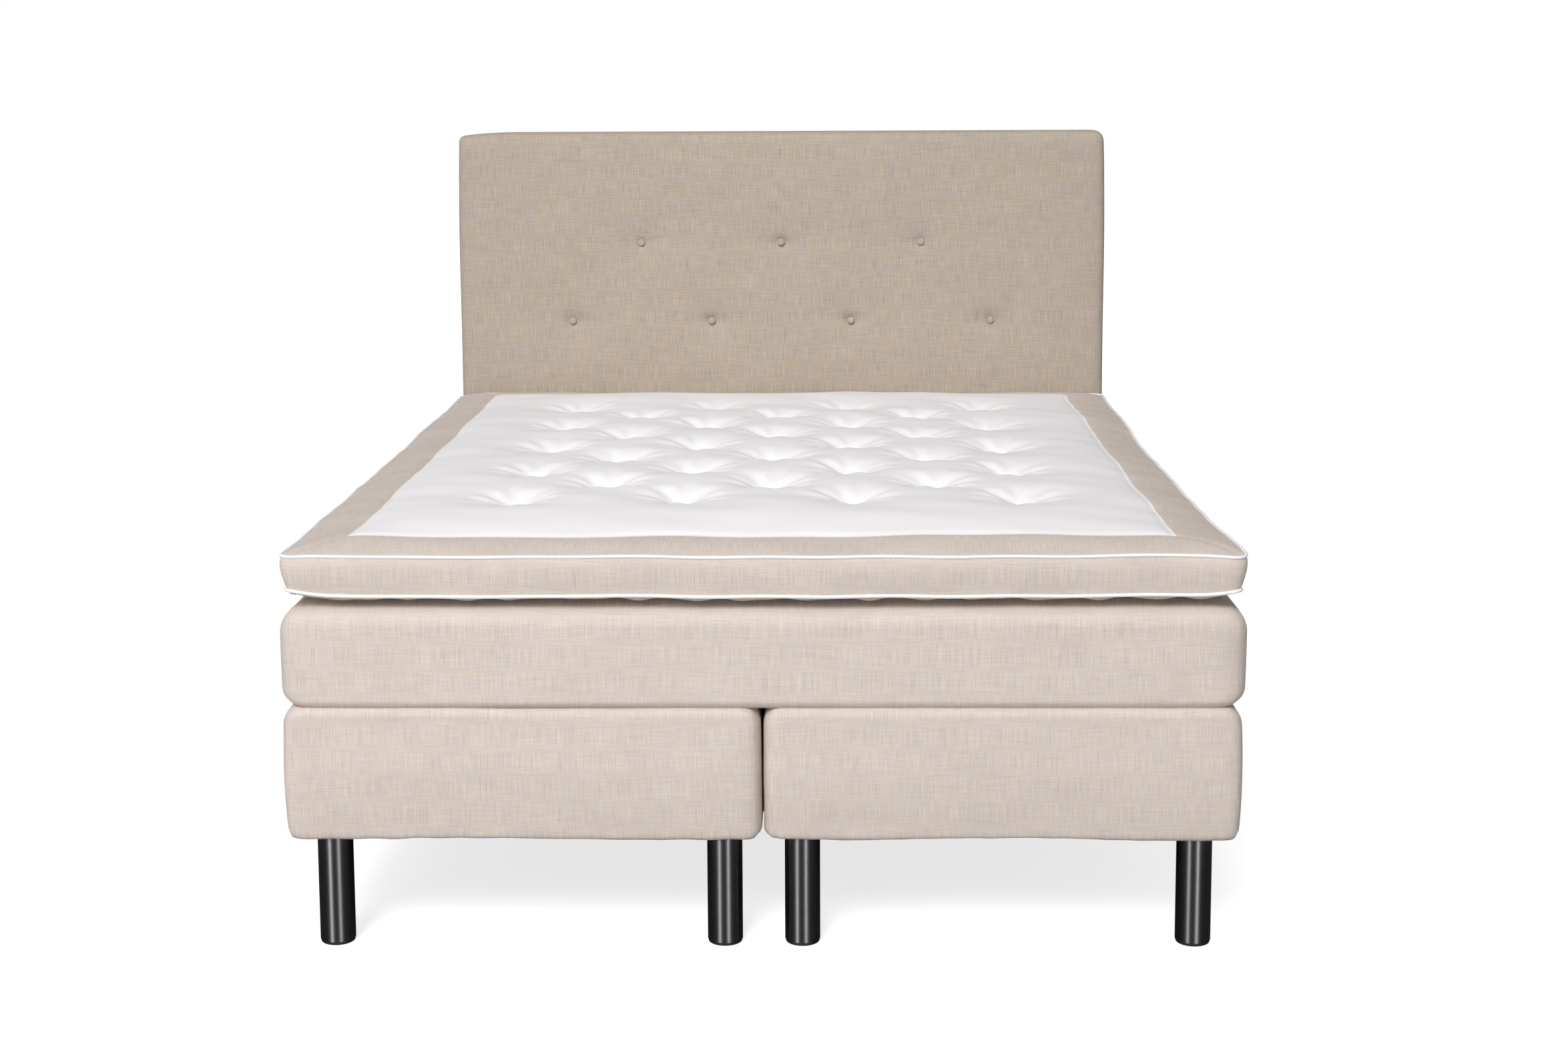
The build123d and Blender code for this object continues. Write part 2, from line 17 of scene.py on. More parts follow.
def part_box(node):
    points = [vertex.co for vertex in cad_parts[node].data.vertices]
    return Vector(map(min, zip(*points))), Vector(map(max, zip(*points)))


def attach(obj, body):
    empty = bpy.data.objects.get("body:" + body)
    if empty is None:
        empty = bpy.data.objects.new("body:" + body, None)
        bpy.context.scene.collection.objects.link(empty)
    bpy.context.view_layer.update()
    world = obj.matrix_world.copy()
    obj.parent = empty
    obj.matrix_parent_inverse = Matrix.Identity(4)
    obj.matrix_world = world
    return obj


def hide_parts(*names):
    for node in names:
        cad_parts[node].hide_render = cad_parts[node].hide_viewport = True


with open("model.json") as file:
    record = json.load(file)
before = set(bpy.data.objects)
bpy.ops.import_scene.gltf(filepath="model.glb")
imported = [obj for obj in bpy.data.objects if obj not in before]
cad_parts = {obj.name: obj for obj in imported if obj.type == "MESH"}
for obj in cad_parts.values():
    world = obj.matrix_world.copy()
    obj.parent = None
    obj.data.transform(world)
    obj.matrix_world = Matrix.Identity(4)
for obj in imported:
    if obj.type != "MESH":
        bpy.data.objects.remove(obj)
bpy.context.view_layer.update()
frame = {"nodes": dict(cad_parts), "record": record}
nodes = frame["nodes"]
scene = bpy.context.scene
mm = 0.001

# %% [markdown]
# ## Where things are
#
# Every place follows from the frame's own boxes, so nothing is fitted by eye. The bed's foot end
# faces -Y and its headboard stands at +Y.

# %% Places read from the frame
left_low, left_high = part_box("base_left_cover")
right_low, right_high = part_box("base_right_cover")
mattress_low, mattress_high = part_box("mattress_border")
topper_low, topper_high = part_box("topper_border")
headboard_low, headboard_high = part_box("headboard_cover")
foot_y = left_low.y
topper_middle_y = (topper_low.y + topper_high.y) / 2
base_floor_z = left_low.z
base_top_z = left_high.z
mattress_top_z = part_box("mattress_top_panel")[1].z
print("foot end at", round(foot_y, 4), "mattress top at", round(mattress_top_z, 4))

# %% [markdown]
# ## Camera
#
# The camera stands a little right of the middle, at 1.45 m, and looks slightly down on the bed. A
# small shift lifts the frame instead of a steeper tilt, so the legs stay almost upright in the
# picture, as in the photograph.

# %% Camera
photo_width = 2349
sensor_width = 36.0
focal_pixels = 3490
camera_place = Vector((0.102, foot_y - 3.743, 1.45))
camera_yaw = math.radians(-0.958)
camera_pitch = math.radians(7.67)
camera_roll = math.radians(-0.256)
camera_shift_y = -0.08

forward = Vector(
    (
        math.sin(camera_yaw) * math.cos(camera_pitch),
        math.cos(camera_yaw) * math.cos(camera_pitch),
        -math.sin(camera_pitch),
    )
)
level_right = Vector((math.cos(camera_yaw), -math.sin(camera_yaw), 0))
level_up = level_right.cross(forward)
right = math.cos(camera_roll) * level_right + math.sin(camera_roll) * level_up
up = math.cos(camera_roll) * level_up - math.sin(camera_roll) * level_right
turn = Matrix((right, up, -forward)).transposed().to_4x4()

camera_data = bpy.data.cameras.new("camera")
camera_data.sensor_width = sensor_width
camera_data.lens = sensor_width * focal_pixels / photo_width
camera_data.shift_y = camera_shift_y
camera = bpy.data.objects.new("camera", camera_data)
camera.matrix_world = Matrix.Translation(camera_place) @ turn
scene.collection.objects.link(camera)
scene.camera = camera
print("lens", round(camera_data.lens, 2), "mm")

# %% [markdown]
# ## Shader maths as Python
#
# A material is a graph of nodes, which is slow to read. This class wraps one socket, so that
# `1 - mask * 0.3` adds the Math nodes itself, and `make` adds any other node.


# %% A socket with operators
class Wire:
    """One socket in a material's node tree."""

    def __init__(self, tree, socket):
        self.tree = tree
        self.socket = socket

    def make(self, kind, inputs, output=0, **settings):
        """Add a node: its settings first, then the values or wires of its sockets."""
        node = self.tree.nodes.new(kind)
        for name, value in settings.items():
            setattr(node, name, value)
        for key, value in inputs.items():
            if isinstance(value, Wire):
                self.tree.links.new(value.socket, node.inputs[key])
            else:
                node.inputs[key].default_value = value
        return Wire(self.tree, node.outputs[output])

    def math(self, operation, *others):
        return self.make("ShaderNodeMath", dict(enumerate((self, *others))), operation=operation)

    def __add__(self, other):
        return self.math("ADD", other)

    __radd__ = __add__

    def __sub__(self, other):
        return self.math("SUBTRACT", other)

    def __rsub__(self, other):
        return (self * -1) + other

    def __mul__(self, other):
        return self.math("MULTIPLY", other)

    __rmul__ = __mul__

    def part(self, axis):
        """One coordinate of a vector: 0, 1 or 2."""
        return self.make("ShaderNodeSeparateXYZ", {0: self}, output=axis)

    def vector(self, x, y, z):
        """A vector of three values or wires."""
        return self.make("ShaderNodeCombineXYZ", {0: x, 1: y, 2: z})

    def scaled(self, x, y, z):
        """This vector, stretched along each axis."""
        return self.make("ShaderNodeVectorMath", {0: self, 1: (x, y, z)}, operation="MULTIPLY")

    def noise(self, detail=2.0, roughness=0.5):
        """Noise read at this vector, from 0 to 1."""
        settings = {"Vector": self, "Scale": 1.0, "Detail": detail, "Roughness": roughness}
        return self.make("ShaderNodeTexNoise", settings)

    def step(self, low, high):
        """0 under low, 1 over high, smooth between."""
        inputs = {"Value": self, "From Min": low, "From Max": high}
        return self.make("ShaderNodeMapRange", inputs, interpolation_type="SMOOTHSTEP")

    def mix(self, first, second):
        """A colour between two, with this wire as the factor."""
        return self.make("ShaderNodeMix", {0: self, 6: first, 7: second}, output=2, data_type="RGBA")

    def bump(self, distance, strength=1.0):
        """A normal from this height, where 1 is the given distance in metres."""
        return self.make("ShaderNodeBump", {"Height": self, "Distance": distance, "Strength": strength})


def new_material(name, coordinates="UV"):
    """A material with one Principled shader: gives it, a setter of its sockets, and the coordinates."""
    material = bpy.data.materials.new(name)
    material.use_nodes = True
    tree = material.node_tree
    shader = tree.nodes["Principled BSDF"]

    def put(socket, value):
        if isinstance(value, Wire):
            tree.links.new(value.socket, shader.inputs[socket])
        else:
            shader.inputs[socket].default_value = value

    place = Wire(tree, tree.nodes.new("ShaderNodeTexCoord").outputs[coordinates])
    return material, put, place


# %% [markdown]
# ## Linen-look upholstery
#
# The cloth is a plain weave of uneven yarns: thick places (slubs) run along both thread directions,
# some yellowish, some lilac grey. Its UV map is in metres, so a thread is as thick on the headboard
# as on the bases. Long thin noise along each direction makes the slubs, and sine waves the weave.
# Each noise is read at a depth of its own (the third coordinate), so that no two of them agree.
# The headboard's copy is the same cloth with a darker base colour: painted shade.

# %% Linen
thread_pitch = 1.3 * mm
slub_width = 0.65 * mm
slub_length = 45 * mm


def linen(name, base, warm, cool, contrast):
    """Woven upholstery cloth around a base colour, with warm and cool yarns in it."""
    material, put, place = new_material(name)
    u = place.part(0)
    v = place.part(1)
    fine = 1 / slub_width
    long = 1 / slub_length
    upright = place.vector(u * fine, v * long, 3.1).noise(detail=1)
    level = place.vector(u * long, v * fine, 7.7).noise(detail=1)
    tint_up = place.vector(u * (fine * 0.6), v * (long * 0.8), 11.3).noise(detail=1)
    tint_level = place.vector(u * (long * 0.8), v * (fine * 0.6), 17.9).noise(detail=1)
    cloud = place.vector(u * 12, v * 12, 23.0).noise(detail=3)
    light = (upright - 0.5) * (1.25 * contrast) + (level - 0.5) * (0.8 * contrast) + 1
    light = light * (0.94 + cloud * 0.12)
    tinted = tint_up.step(0.42, 0.62).mix(cool, base)
    tinted = tint_level.step(0.45, 0.65).mix(tinted, warm)
    shade = place.make("ShaderNodeCombineColor", {0: light, 1: light, 2: light})
    colour = place.make(
        "ShaderNodeMix", {0: 1.0, 6: tinted, 7: shade}, output=2, data_type="RGBA", blend_type="MULTIPLY"
    )
    weave = (u * (math.tau / thread_pitch)).math("SINE") * (v * (math.tau / thread_pitch)).math("SINE")
    height = upright * 0.5 + level * 0.5 + weave * 0.25
    put("Base Color", colour)
    put("Roughness", 0.9 - upright * 0.1)
    put("Specular IOR Level", 0.15)
    put("Sheen Weight", 0.08)
    put("Sheen Roughness", 0.6)
    put("Normal", height.bump(0.35 * mm))
    return material


bed_linen = linen(
    "bed_linen", (0.69, 0.601, 0.541, 1), (0.71, 0.607, 0.51, 1), (0.665, 0.596, 0.57, 1), contrast=0.48
)
# The headboard's linen is the bed's linen with a darker base colour: painted shade.
headboard_linen = linen(
    "headboard_linen", (0.49, 0.418, 0.345, 1), (0.512, 0.43, 0.29, 1), (0.47, 0.41, 0.39, 1), contrast=0.75
)
print("linen, with slubs of", slub_length, "m")

# %% [markdown]
# ## White ticking and piping
#
# The topper's panel is a smooth white ticking with fine slanting ribs, which show only where light
# grazes them near the tufts. The piping is the same white, wrapped round a cord.

# %% Ticking and piping
rib_pitch = 4.2 * mm


def ticking(name, colour, shadow):
    """Smooth white cloth with fine slanting ribs."""
    material, put, place = new_material(name)
    u = place.part(0)
    v = place.part(1)
    rib = ((u + v * 0.7) * (math.tau / rib_pitch)).math("SINE") * 0.5 + 0.5
    grain = place.vector(u * 900, v * 900, 5.0).noise()
    cloud = place.vector(u * 6, v * 6, 9.0).noise()
    mask = rib * 0.35 + grain * 0.35 + cloud * 0.3
    put("Base Color", mask.mix(shadow, colour))
    put("Roughness", 0.8 + grain * 0.12)
    put("Specular IOR Level", 0.2)
    put("Normal", (rib * 0.6 + grain * 0.4).bump(0.25 * mm))
    return material


def piping_cloth(name, colour, shadow):
    """White tape wrapped round a cord, with a faint twist."""
    material, put, place = new_material(name, "Object")
    grain = place.scaled(700, 700, 700).noise()
    put("Base Color", grain.mix(shadow, colour))
    put("Roughness", 0.7 + grain * 0.2)
    put("Specular IOR Level", 0.25)
    put("Normal", grain.bump(0.2 * mm))
    return material


white_ticking = ticking("white_ticking", (0.97, 0.945, 0.96, 1), (0.935, 0.91, 0.925, 1))
white_piping = piping_cloth("white_piping", (0.95, 0.94, 0.94, 1), (0.88, 0.87, 0.88, 1))
print("ticking, with ribs", rib_pitch, "m apart, and piping")

# %% [markdown]
# ## Metal, plastic, timber and filling
#
# The legs are steel tube with a brushed, satin anthracite finish, whose grain draws each reflection
# out into an upright line. The fittings that the headboard hangs on are zinc-plated or black.
# Timber, foam, springs and lining are seen only from below or behind, and still get their grain,
# pores and weave.


# %% Hard materials
def enamel(name, dark, light, roughness, metallic):
    """Painted steel or moulded plastic, with a fine orange-peel surface."""
    material, put, place = new_material(name, "Object")
    peel = place.scaled(420, 420, 420).noise()
    wear = place.scaled(30, 30, 30).noise(4)
    put("Base Color", wear.mix(dark, light))
    put("Roughness", roughness + wear * 0.08)
    put("Metallic", metallic)
    put("Normal", peel.bump(0.03 * mm))
    return material


def satin_tube(name, dark, light):
    """Satin anthracite metal: its fine round grain draws reflections out upwards."""
    material, put, place = new_material(name, "Object")
    grain = place.scaled(60, 60, 900).noise(3)
    put("Base Color", grain.mix(dark, light))
    put("Roughness", 0.45 + grain * 0.06)
    put("Metallic", 1.0)
    put("Anisotropic", 0.92)
    put("Anisotropic Rotation", 0.25)
    return material


def plated(name, dark, light):
    """Zinc plating: cloudy grey metal with fine drawing lines."""
    material, put, place = new_material(name, "Object")
    lines = place.scaled(900, 900, 60).noise(3)
    cloud = place.scaled(45, 45, 45).noise(3)
    put("Base Color", (lines * 0.5 + cloud * 0.5).mix(dark, light))
    put("Roughness", 0.28 + lines * 0.2)
    put("Metallic", 1.0)
    put("Normal", lines.bump(0.02 * mm))
    return material


def timber(name, early, late, ring_scale):
    """Planed softwood: long rings along Y, broken up by noise."""
    material, put, place = new_material(name, "Object")
    x, y, z = place.part(0), place.part(1), place.part(2)
    wobble = place.vector(x * 6, y * 1.5, z * 6).noise(3)
    rings = ((x + z) * ring_scale + wobble * 9).math("SINE") * 0.5 + 0.5
    fibre = place.vector(x * 500, y * 12, z * 500).noise()
    put("Base Color", (rings * 0.6 + fibre * 0.4).mix(early, late))
    put("Roughness", 0.6 + fibre * 0.2)
    put("Normal", (rings * 0.4 + fibre * 0.6).bump(0.1 * mm))
    return material


def porous(name, light, dark, size):
    """Foam or felted cloth: pores or fibres of one size."""
    material, put, place = new_material(name, "Object")
    pores = place.scaled(1 / size, 1 / size, 1 / size).noise(3)
    put("Base Color", pores.step(0.35, 0.65).mix(dark, light))
    put("Roughness", 0.85 + pores * 0.1)
    put("Normal", pores.bump(0.3 * mm))
    return material


recipes = {
    "anthracite_metal": (satin_tube, (0.17, 0.17, 0.18, 1), (0.23, 0.23, 0.24, 1)),
    "glide_plastic": (enamel, (0.012, 0.012, 0.012, 1), (0.02, 0.02, 0.02, 1), 0.45, 0.0),
    "black_steel": (enamel, (0.018, 0.018, 0.019, 1), (0.03, 0.03, 0.031, 1), 0.4, 0.2),
    "zinc_steel": (plated, (0.5, 0.51, 0.53, 1), (0.68, 0.69, 0.7, 1)),
    "plywood": (timber, (0.6, 0.43, 0.26, 1), (0.48, 0.33, 0.19, 1), 260),
    "pine": (timber, (0.75, 0.57, 0.35, 1), (0.6, 0.42, 0.23, 1), 380),
    "pocket_cloth": (porous, (0.85, 0.85, 0.84, 1), (0.72, 0.72, 0.71, 1), 1.5 * mm),
    "foam": (porous, (0.87, 0.83, 0.68, 1), (0.74, 0.7, 0.55, 1), 1.2 * mm),
    "lining_cloth": (porous, (0.05, 0.05, 0.052, 1), (0.028, 0.028, 0.03, 1), 0.9 * mm),
    "cotton_cord": (porous, (0.86, 0.85, 0.83, 1), (0.74, 0.73, 0.71, 1), 0.8 * mm),
}
finishes = {name: make_finish(name, *values) for name, (make_finish, *values) in recipes.items()}
finishes |= {
    "beige_linen": bed_linen,
    "headboard_linen": headboard_linen,
    "white_ticking": white_ticking,
    "white_piping": white_piping,
}
for entry in frame["record"]["subparts"]:
    mesh = nodes[entry["node"]].data
    mesh.materials.clear()
    mesh.materials.append(finishes[entry["material_slot"]])
print(len(finishes), "finishes")

# %% [markdown]
# ## Tools for soft pieces
#
# A soft piece starts from a primitive, is divided in edit mode, and is then pushed into shape vertex
# by vertex, as a sculptor would, by formulas on its coordinates. The first tools read a mesh into
# rows of numbers and put them back.


# %% Read and move the points
def activate(piece):
    """Select one object alone and make it the active one."""
    bpy.ops.object.select_all(action="DESELECT")
    piece.select_set(True)
    bpy.context.view_layer.objects.active = piece


def read(items, name, width=1, kind=float):
    """One property of all a mesh's points, edges or faces: a number each, or a row of them."""
    flat = np.empty(len(items) * width, dtype=kind)
    items.foreach_get(name, flat)
    return flat.reshape(-1, width) if width > 1 else flat


def points_of(piece):
    """The piece's vertices as rows of x, y and z."""
    return read(piece.data.vertices, "co", 3)


def normals_of(piece):
    """The piece's vertex normals."""
    return read(piece.data.vertices, "normal", 3)


def set_points(piece, points):
    """Move the piece's vertices to these places."""
    piece.data.vertices.foreach_set("co", points.ravel())
    piece.data.update()


# %% [markdown]
# ## Formulas for cloth
#
# Waves are sums of a few sines in seeded directions, so that every run gives the same cloth. The
# other formulas roll an edge in, round a corner or press a line, and work on rows of points.


# %% Waves, rolled edges and creases
def waves(points, wavelength, seed, count=7):
    """A smooth random height at each point, about -1 to 1."""
    random = np.random.RandomState(seed)
    total = np.zeros(len(points))
    for number in range(count):
        direction = random.normal(size=3)
        direction *= math.tau / (wavelength * random.uniform(0.7, 1.5) * np.linalg.norm(direction))
        total += np.sin(points @ direction + random.uniform(0, math.tau))
    return total / math.sqrt(count)


def swells(points, layers, seed_shift=0):
    """Waves added up, each given as a wavelength in metres, a height in mm and a seed."""
    return sum(waves(points, length, seed + seed_shift) * height * mm for length, height, seed in layers)


def roll_in(distance, across, along):
    """How far a rounded edge is drawn in at a distance from it."""
    return across * np.clip(1 - distance / along, 0, 1) ** 2


def both_rolls(from_top, from_floor, rolls):
    """How far a side is drawn in by its upper and its lower edge, each given as across and along in mm."""
    top, floor = np.array(rolls) * mm
    return roll_in(from_top, *top) + roll_in(from_floor, *floor)


def bell(distance, width):
    """1 at no distance, falling softly to 0 over a few widths."""
    return np.exp(-((distance / width) ** 2))


def from_sides(points, middle, halves, axes=(0, 1)):
    """How far each point is in from the sides of a rectangle, along each of two axes."""
    return [half - np.abs(points[:, axis] - centre) for axis, centre, half in zip(axes, middle, halves)]


def round_corners(points, middle, halves, radius, axes=(0, 1)):
    """Turn the square corners of a block or sheet into round ones, seen along the third axis."""
    a, b = axes
    from_a = np.abs(points[:, a] - middle[0]) - (halves[0] - radius)
    from_b = np.abs(points[:, b] - middle[1]) - (halves[1] - radius)
    inside = (from_a > 0) & (from_b > 0)
    scale = np.where(inside, np.maximum(from_a, from_b) / (np.hypot(from_a, from_b) + 1e-12), 1)
    a_sign = np.sign(points[:, a] - middle[0])
    b_sign = np.sign(points[:, b] - middle[1])
    points[:, a] = np.where(inside, middle[0] + a_sign * (halves[0] - radius + from_a * scale), points[:, a])
    points[:, b] = np.where(inside, middle[1] + b_sign * (halves[1] - radius + from_b * scale), points[:, b])


def crease(points, start, end, depth, width, axes=(0, 1), along=2):
    """Press a line into a sheet between two tufts, deepest beside them."""
    a, b = axes
    step = np.array(end) - np.array(start)
    away = points[:, [a, b]] - np.array(start)
    share = np.clip(away @ step / (step @ step), 0, 1)
    distance = np.hypot(*(away - share[:, None] * step).T)
    points[:, along] -= depth * bell(distance, width) * (0.3 + 0.7 * np.abs(2 * share - 1))


# %% [markdown]
# ## Making and finishing a piece
#
# Blocks and sheets start as evenly divided primitives, and their borders are extruded step by step.
# At the end a piece gets its UV map, its finish and the body it rides on.


# %% Make, join and finish
def cloth_uv(piece):
    """A UV map in metres, each face seen along its own axis, so that threads keep their size."""
    mesh = piece.data
    layer = mesh.uv_layers.new(name="cloth") if not mesh.uv_layers else mesh.uv_layers[0]
    corner_points = points_of(piece)[read(mesh.loops, "vertex_index", kind=int)]
    sizes = read(mesh.polygons, "loop_total", kind=int)
    facing = np.abs(read(mesh.polygons, "normal", 3)).argmax(axis=1).repeat(sizes)
    across = np.where(facing == 0, corner_points[:, 1], corner_points[:, 0])
    along = np.where(facing == 2, corner_points[:, 1], corner_points[:, 2])
    layer.data.foreach_set("uv", np.stack([across, along], axis=1).ravel())


def apply_modifier(piece, kind, **settings):
    """Add a modifier, set it and apply it."""
    activate(piece)
    modifier = piece.modifiers.new(kind.lower(), kind)
    for name, value in settings.items():
        setattr(modifier, name, value)
    bpy.ops.object.modifier_apply(modifier=modifier.name)


def finish_piece(piece, body, slot, replaced=()):
    """Give a finished piece its finish and the body that it rides on, and hide the solids that it replaces.
    """
    activate(piece)
    bpy.ops.object.shade_smooth()
    piece.data.materials.clear()
    piece.data.materials.append(finishes[slot])
    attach(piece, body)
    if replaced:
        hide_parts(*replaced)
    print(piece.name, len(piece.data.polygons), "faces")


def soft_block(name, low, high, cuts):
    """A box between two corners, divided evenly, ready to be pushed into shape."""
    bpy.ops.mesh.primitive_cube_add(size=1, location=(low + high) / 2, scale=high - low)
    piece = bpy.context.object
    piece.name = name
    bpy.ops.object.transform_apply(location=True, rotation=True, scale=True)
    bpy.ops.object.mode_set(mode="EDIT")
    bpy.ops.mesh.select_all(action="SELECT")
    bpy.ops.mesh.subdivide(number_cuts=cuts)
    bpy.ops.object.mode_set(mode="OBJECT")
    return piece


def flat_sheet(name, middle, size, cell, upright=False):
    """A grid of square cells, lying or standing across the bed."""
    bpy.ops.mesh.primitive_grid_add(
        x_subdivisions=round(size[0] / cell), y_subdivisions=round(size[1] / cell), size=1, location=middle
    )
    piece = bpy.context.object
    piece.name = name
    piece.scale = (*size, 1)
    if upright:
        piece.rotation_euler = (math.pi / 2, 0, 0)
    bpy.ops.object.transform_apply(location=True, rotation=True, scale=True)
    return piece


def join_pieces(pieces, name):
    """Join pieces into one, which stays the active one."""
    activate(pieces[0])
    for piece in pieces:
        piece.select_set(True)
    bpy.ops.object.join()
    joined = bpy.context.object
    joined.name = name
    return joined


def clear_selection(piece, kind):
    """Deselect all of the piece, and let faces or edges be what is selected from now on."""
    activate(piece)
    bpy.ops.object.mode_set(mode="EDIT")
    bpy.ops.mesh.select_mode(type=kind)
    bpy.ops.mesh.select_all(action="DESELECT")
    bpy.ops.object.mode_set(mode="OBJECT")


def select_border(piece):
    """Start editing the piece, with its open border selected."""
    activate(piece)
    bpy.ops.object.mode_set(mode="EDIT")
    bpy.ops.mesh.select_mode(type="EDGE")
    bpy.ops.mesh.select_all(action="SELECT")
    bpy.ops.mesh.region_to_loop()


def extrude_border(shift, scale, centre):
    """Extrude what is selected by a shift, and stretch the new ring about a centre."""
    bpy.ops.mesh.extrude_region_move(TRANSFORM_OT_translate={"value": shift})
    bpy.ops.transform.resize(value=scale, center_override=centre)


# %% [markdown]
# ## The two bases
#
# Each base is a cloth cover pulled over foam and stapled under the timber. It is fullest a hand's
# width under its upper edge, leans in towards the floor and has soft, rolled edges. Against the other
# base it stays full almost to the bottom, so that the gap between them closes downwards.

# %% Bases
base_corner = 26 * mm
base_cuts = 63
floor_hem = 40 * mm
hem_lift = 1 * mm
base_fullness = 3.5 * mm
right_base_inset = 4 * mm
base_outer_rolls = ((16, 32), (4, 12))
base_inner_rolls = ((13, 34), (6, 16))
base_end_rolls = ((9, 15), (3, 9))
base_swells = ((0.42, 1.3, 11), (0.12, 0.4, 21))
base_top_fade = 20 * mm
pucker_height = 0.5 * mm
pucker_reach = 40 * mm


def lean_in(from_floor):
    """How far the foot end leans in towards the floor: straight at first, then curving."""
    return 0.045 * np.clip(0.12 - from_floor, 0, None) + 0.5 * np.clip(0.13 - from_floor, 0, None) ** 2


def make_base(name, side, low, high):
    """One base's cover, from its hem under the timber to its top."""
    piece = soft_block(name, low, high, base_cuts)
    points = points_of(piece)
    from_top = high.z - points[:, 2]
    from_floor = points[:, 2] - low.z
    full = base_fullness * np.sin(math.pi * np.clip(from_floor / (high.z - low.z), 0, 1))
    outer = both_rolls(from_top, from_floor, base_outer_rolls) - full + right_base_inset * (side > 0)
    inner = both_rolls(from_top, from_floor, base_inner_rolls)
    end = both_rolls(from_top, from_floor, base_end_rolls) + lean_in(from_floor)
    left_in, right_in = (outer, inner) if side < 0 else (inner, outer)
    x_share = (points[:, 0] - low.x) / (high.x - low.x)
    y_share = (points[:, 1] - low.y) / (high.y - low.y)
    left_x = low.x + left_in
    right_x = high.x - right_in
    points[:, 0] = left_x + x_share * (right_x - left_x)
    points[:, 1] = low.y + end + y_share * (high.y - low.y - 2 * end)
    middle = ((left_x + right_x) / 2, (low.y + high.y) / 2)
    halves = ((right_x - left_x) / 2, (high.y - low.y) / 2 - end)
    round_corners(points, middle, halves, base_corner)
    inward = np.minimum(*from_sides(points, middle, halves))
    points[:, 2] += np.where((from_floor < 1e-6) & (inward > floor_hem), hem_lift, 0)
    set_points(piece, points)
    pucker = waves(points * (1, 1, 0.15), 0.05, 31 + side)
    pucker *= roll_in(from_floor, pucker_height, pucker_reach)
    walls = np.abs(normals_of(piece)[:, 2]) < 0.9
    fade = np.clip(from_top / base_top_fade, 0, 1)
    swell = swells(points, base_swells, side) * fade + pucker
    points += normals_of(piece) * (swell * walls)[:, None]
    set_points(piece, points)
    return piece


base_sides = (("left", -1, left_low, left_high), ("right", 1, right_low, right_high))
for side_name, side, low, high in base_sides:
    base_piece = make_base(f"base_{side_name}_upholstery", side, low, high)
    cloth_uv(base_piece)
    covered = [f"base_{side_name}_{part}" for part in ("cover", "foam_border", "top_pad")]
    finish_piece(base_piece, "base", "beige_linen", covered)

# %% [markdown]
# ## Black linings, stapled on
#
# The underside of each base and the back of the headboard are closed with thin black lining cloth,
# held by rows of staples. The lining hardly sags, and the staples are plain bent wire.

# %% Dust covers and staples
staple_pitch = 60 * mm
staple_size = Vector((11, 1.1, 0.6)) * mm
staple_margin = 9 * mm
lining_overlap = 6 * mm


def edge_places(half_a, half_b, pitch):
    """Places round a rectangle, evenly apart, each with the angle of its side."""
    places = []
    for half_run, half_off, angle in ((half_a, half_b, 0), (half_b, half_a, 1)):
        count = round(2 * half_run / pitch)
        for number in range(count):
            run = -half_run + (number + 0.5) * 2 * half_run / count
            for off in (-half_off, half_off):
                places.append(((run, off) if angle == 0 else (off, run), angle * math.pi / 2))
    return places


def make_staples(name, half_a, half_b, place_of):
    """One mesh with a staple at each place, slightly uneven, laid flat on the lining."""
    random = np.random.RandomState(5)
    staples = []
    for (a, b), angle in edge_places(half_a - staple_margin, half_b - staple_margin, staple_pitch):
        bpy.ops.mesh.primitive_cube_add(size=1)
        staple = bpy.context.object
        staple.scale = staple_size
        bpy.ops.object.transform_apply(scale=True)
        turned = Matrix.Rotation(angle + random.uniform(-0.12, 0.12), 4, "Z")
        staple.matrix_world = place_of(a + random.uniform(-2, 2) * mm, b) @ turned
        staples.append(staple)
    joined = join_pieces(staples, name)
    bpy.ops.object.transform_apply(location=True, rotation=True, scale=True)
    return joined


for side_name, side, low, high in base_sides:
    middle = Vector(((low.x + high.x) / 2, (low.y + high.y) / 2, base_floor_z + 0.35 * mm))
    open_in = 2 * (floor_hem - lining_overlap)
    size = (high.x - low.x - open_in, high.y - low.y - open_in)
    lining = flat_sheet(f"base_{side_name}_lining", middle, size, 20 * mm)
    points = points_of(lining)
    points[:, 2] += waves(points, 0.16, 81 + side) * 0.15 * mm
    set_points(lining, points)
    finish_piece(lining, "base", "lining_cloth", [f"base_{side_name}_dust_cover"])
    staples = make_staples(
        f"base_{side_name}_staples", size[0] / 2, size[1] / 2,
        lambda a, b: Matrix.Translation(middle + Vector((a, b, -0.3 * mm))),
    )
    finish_piece(staples, "base", "zinc_steel")

# %% [markdown]
# ## The mattress
#
# One sprung mattress lies across both bases. Its border is upright and slightly full, and its top
# panel rolls far in over the upper edge, so that a dark shadow lies between it and the topper.

# %% Mattress
mattress_corner = 34 * mm
mattress_cuts = 71
mattress_side_rolls = ((44, 62), (18, 32))
mattress_end_rolls = ((42, 50), (10, 14))
rim_sink = 21 * mm
rim_width = 130 * mm
rim_height = 40 * mm
mattress_swells = ((0.5, 1.6, 41), (0.11, 0.5, 42))
mattress_top_fade = 25 * mm
mattress_floor_fade = 12 * mm


